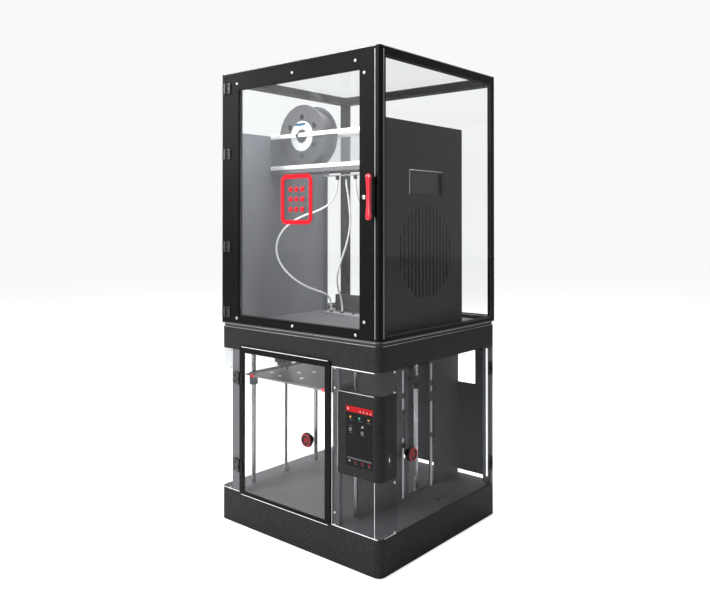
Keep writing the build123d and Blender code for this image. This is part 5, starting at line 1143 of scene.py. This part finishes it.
@dataclass
class ScreenBox(Assembly):
    """The wrapped screen box with its lit display and its data port."""

    left: float = 509.0
    bottom: float = 273.0
    face: float = -2.7
    looks = {"screen_coat": ("screen_housing",), "display_glass": ("touch_screen",),
             "black_moulding": ("usb_port",)}

    def panel(self, form: Form, x: float, z: float, width: float, height: float, radius: float,
              lift: float = 0.0) -> None:
        """Add one lit shape, placed by its middle from the display's lower left corner."""
        middle = at(self.left + x, self.face, self.bottom + z)
        form.plate(facing_matrix(middle, TOWARDS_FRONT), width, height, radius, 0.12, lift, 3)

    def draw(self, name: str, finish: str, shapes: Iterable[tuple[float, ...]]) -> None:
        """Add one piece of lit shapes, each given by what a panel takes."""
        form = Form()
        for shape in shapes:
            self.panel(form, *shape)
        self.add(form, name, finish, "screen")

    def sign(self, form: Form, x: float, z: float, kind: Glyph) -> None:
        """Draw one plain sign of a kind."""
        if kind is Glyph.ROUND:
            middle = at(self.left + x, self.face - 0.05, self.bottom + z)
            form.ring(middle, TOWARDS_FRONT, 3.4, 0.5, 28, 5)
        else:
            for index, height in enumerate((2.6, 4.6, 6.6)):
                self.panel(form, x - 2.6 + index * 2.6, z - 3.3 + height / 2, 1.4, height, 0.0)

    def build(self) -> None:
        """Draw the display: a red bar, rows of signs and a bar along the bottom."""
        self.draw("display_header", "lit_red", [(45.0, 146.5, 90.0, 15.0, 0.6)])
        signs = Form()
        for index in range(4):
            self.panel(signs, 48.0 + index * 11.5, 143.5, 3.4, 3.4, 1.6, 0.13)
        self.panel(signs, 7.0, 146.5, 4.6, 4.6, 0.8, 0.13)
        self.sign(signs, 15.0, 94.0, Glyph.ROUND)
        self.sign(signs, 55.0, 90.0, Glyph.ROUND)
        self.sign(signs, 55.0, 106.0, Glyph.BARS)
        self.panel(signs, 12.0, 12.0, 4.4, 3.4, 0.6)
        self.add(signs, "display_signs", "lit_white", "screen")
        places = ((17.0, 118.5), (48.0, 118.5), (77.0, 118.5), (17.0, 86.0), (57.0, 83.0), (17.0, 103.0))
        self.draw("display_bars", "lit_dim", [
            *((x, z, 12.0, 1.6, 0.7) for x, z in places), (45.0, 20.0, 80.0, 4.6, 1.0),
            *((x, 7.0, 9.0, 1.8, 0.7) for x in (33.0, 56.0, 78.0))])
        self.draw("display_lamps", "lit_red", ((x, 12.0, 4.6, 3.4, 0.8) for x in (32.0, 55.0, 78.0)))
        self.draw("display_mark_amber", "lit_amber",
                  [(15.0, 126.0, 6.0, 6.0, 2.6, 0.13), (76.0, 126.0, 6.5, 4.0, 1.4, 0.13)])
        self.draw("display_mark_green", "lit_green", [(45.0, 126.0, 6.0, 6.0, 2.6, 0.13)])
        # painted highlight: thin bright bars on the box's top and left edges stand in for light on those
        # edges
        self.add(Form().bars([((482, 604), (-3.7, -3.0), (460.4, 461.8)),
                              ((480.2, 481.0), (-3.6, -2.9), (262, 460))]),
                 "screen_box_painted_highlights", "nickel", "silver")
        self.add(Form().bars([((621.6, 622.4), (34.6, 37.4), (292.0, 302.0))], 0.3),
                 "port_tongue", "white_moulding", "white_plastic")


# --- lift and gantry
@dataclass
class Mechanism(Assembly):
    """The bed lift, the gantry, the print head and the electronics."""

    screw_axes: tuple[float, float] = (56.0, 472.0)
    screw_y: float = 221.0
    bed_top: float = 450.0
    head_places: tuple[Span, ...] = (
        (143, 77), (205, 130), (235, 165), (196, 60), (268, 78), (330, 150), (170, 250), (330, 300))
    looks = {"ground_rod": ("guide_rods",), "clear_anodised": ("rod_plates", "power_supply", "gantry_beam"),
             "cross_rod": ("y_drive_shaft",), "bed_sheet": ("bed_plate",), "dark_sheet": ("bed_carriage",),
             "black_moulding": ("axis_motors", "x_drive", "print_head", "power_inlet"),
             "red_gloss": ("bed_clips", "power_switch"), "toothed_belt": ("y_belts",),
             "hinge_silver": ("hot_ends",), "board_green": ("control_board",)}

    def dress(self) -> None:
        """Give the lead screws their threads, and the other solids their finishes."""
        for side, x in zip(("left", "right"), self.screw_axes):
            recipe = ThreadedSteel(f"screw_thread_{side}", (0.45, 0.44, 0.42), at(x, self.screw_y, 0.0))
            self.finishes.add(recipe)
            self.finishes.dress(self.frame, recipe.name, f"lead_screw_{side}")
        super().dress()

    def build(self) -> None:
        """Add the bright heads that hold the bed plate."""
        heads = Form()
        for x, y in self.head_places:
            heads.turned([(0, 0), (6.2, 0), (6.2, 0.35), (5.6, 0.6), (0, 0.7)],
                         facing_matrix(at(x, y, self.bed_top), UPWARDS), 28)
        self.add(heads, "bed_plate_heads", "white_moulding", "silver", "bed")


# --- studio
@dataclass
class Studio:
    """A pale floor, soft light and the camera."""

    eye: tuple[float, float, float] = (1.457, -1.7284, 0.905)
    yaw: float = 40.45
    pitch: float = -0.33
    lens: float = 37.46
    shift_y: float = -0.1166
    middle: tuple[float, float, float] = (0.0, 0.0, 0.7)

    def floor(self) -> None:
        """Lay the floor."""
        paint = Paint("pale_floor")
        cloud = paint.noise(0.6, 2.0)
        seen = Val(paint.tree, paint.node("ShaderNodeLightPath").outputs["Is Camera Ray"])
        finish = paint.surface(Base_Color=paint.mix(cloud, (0.86, 0.86, 0.86), (0.9, 0.9, 0.9)),
                               Roughness=(0.75 + cloud * 0.1).clamp(), Emission_Strength=1.0,
                               Emission_Color=paint.mix(seen, (0.0, 0.0, 0.0), (0.74, 0.74, 0.74)))
        form = Form()
        bmesh.ops.create_grid(form.mesh, x_segments=4, y_segments=4, size=14.0)
        data = bpy.data.meshes.new("floor")
        form.mesh.to_mesh(data)
        form.mesh.free()
        data.materials.append(finish)
        floor = bpy.data.objects.new("floor", data)
        bpy.context.scene.collection.objects.link(floor)

    def lamp(self, name: str, place: Sequence[float], aim: Sequence[float], size: Span, power: float,
             seen: bool = True, lights: bool = True) -> None:
        """Hang one soft rectangular lamp.

        Args:
            name: The lamp's name.
            place: Where it hangs.
            aim: What it points at.
            size: Its width and height in metres.
            power: Its power in watts.
            seen: Whether it shows in mirror-like surfaces.
            lights: Whether it lights matt surfaces.
        """
        data = bpy.data.lights.new(name, "AREA")
        data.shape = "RECTANGLE"
        data.size, data.size_y = size
        data.energy = power
        lamp = bpy.data.objects.new(name, data)
        lamp.location = place
        lamp.visible_camera = lamp.visible_glossy = seen
        lamp.visible_diffuse = lights
        lamp.rotation_euler = (Vector(place) - Vector(aim)).to_track_quat("Z", "Y").to_euler()
        bpy.context.scene.collection.objects.link(lamp)

    def room(self) -> None:
        """Set the room's even light, brighter where the camera or a reflection sees it."""
        world = bpy.data.worlds.new("white_room")
        bpy.context.scene.world = world
        world.use_nodes = True
        tree = world.node_tree
        tree.nodes.clear()
        path = tree.nodes.new("ShaderNodeLightPath")
        strength = Val(tree, path.outputs["Is Camera Ray"]) * 0.8
        strength = strength + Val(tree, path.outputs["Is Glossy Ray"]) * 0.62 + 0.15
        background = tree.nodes.new("ShaderNodeBackground")
        background.inputs["Color"].default_value = (1.0, 1.0, 1.0, 1.0)
        tree.links.new(strength.socket, background.inputs["Strength"])
        output = tree.nodes.new("ShaderNodeOutputWorld")
        tree.links.new(background.outputs[0], output.inputs[0])

    def camera(self) -> None:
        """Stand the camera where it sees the front and the right side."""
        data = bpy.data.cameras.new("camera")
        data.lens = self.lens
        data.sensor_width = 36.0
        data.shift_y = self.shift_y
        data.clip_end = 60.0
        camera = bpy.data.objects.new("camera", data)
        camera.location = self.eye
        yaw, pitch = math.radians(self.yaw), math.radians(self.pitch)
        camera.rotation_euler = (math.pi / 2 - pitch, 0.0, yaw)
        bpy.context.scene.collection.objects.link(camera)
        bpy.context.scene.camera = camera

    def build(self) -> None:
        """Set up the floor, the room, the lamps and the camera."""
        self.floor()
        self.room()
        self.lamp("key_front", (-0.8, -3.4, 2.1), self.middle, (1.2, 1.6), 150.0)
        self.lamp("key_left", (-3.2, -1.7, 2.3), self.middle, (1.2, 2.0), 60.0)
        self.lamp("strip_right", (2.9, -0.3, 1.3), self.middle, (0.5, 2.2), 3.0)
        self.lamp("door_sheen", (-1.75, -1.9, 1.75), (-1.0, -0.9, 1.4), (1.5, 1.1), 2.5, True, False)
        self.lamp("cabinet_fill", (0.02, -0.08, 1.33), (-0.25, 0.0, 0.95), (0.35, 0.3), 2.2, False)
        self.lamp("chamber_fill", (0.02, -0.1, 0.515), (0.1, 0.0, 0.1), (0.3, 0.3), 0.2, False)
        self.lamp("top_soft", (-0.2, 0.2, 3.3), self.middle, (1.6, 1.6), 190.0)
        self.camera()
        bpy.context.scene.view_settings.view_transform = "Standard"


def main() -> None:
    """Build every sub-assembly in order."""
    logging.basicConfig(level=logging.INFO, format="%(message)s")
    for thing in list(bpy.data.objects):
        bpy.data.objects.remove(thing)
    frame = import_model()
    finishes = Finishes()
    Studio().build()
    for assembly in (FilamentTubes, Cabinet, CabinetDoor, DoorHandle, SpoolRack, LowerUnit, FrontDoor,
                     SideDoor):
        assembly(frame, finishes).make()
    for name, body, seat, facing in (("front", "front_door", at(385, -5.3, 316), TOWARDS_FRONT),
                                     ("side", "side_door", at(620, 115, 297), TOWARDS_RIGHT)):
        Knob(frame, finishes, f"{name}_knob", f"{body}_knob", body, seat, facing).make()
    ScreenBox(frame, finishes).make()
    Mechanism(frame, finishes).make()


if __name__ == "__main__":
    main()
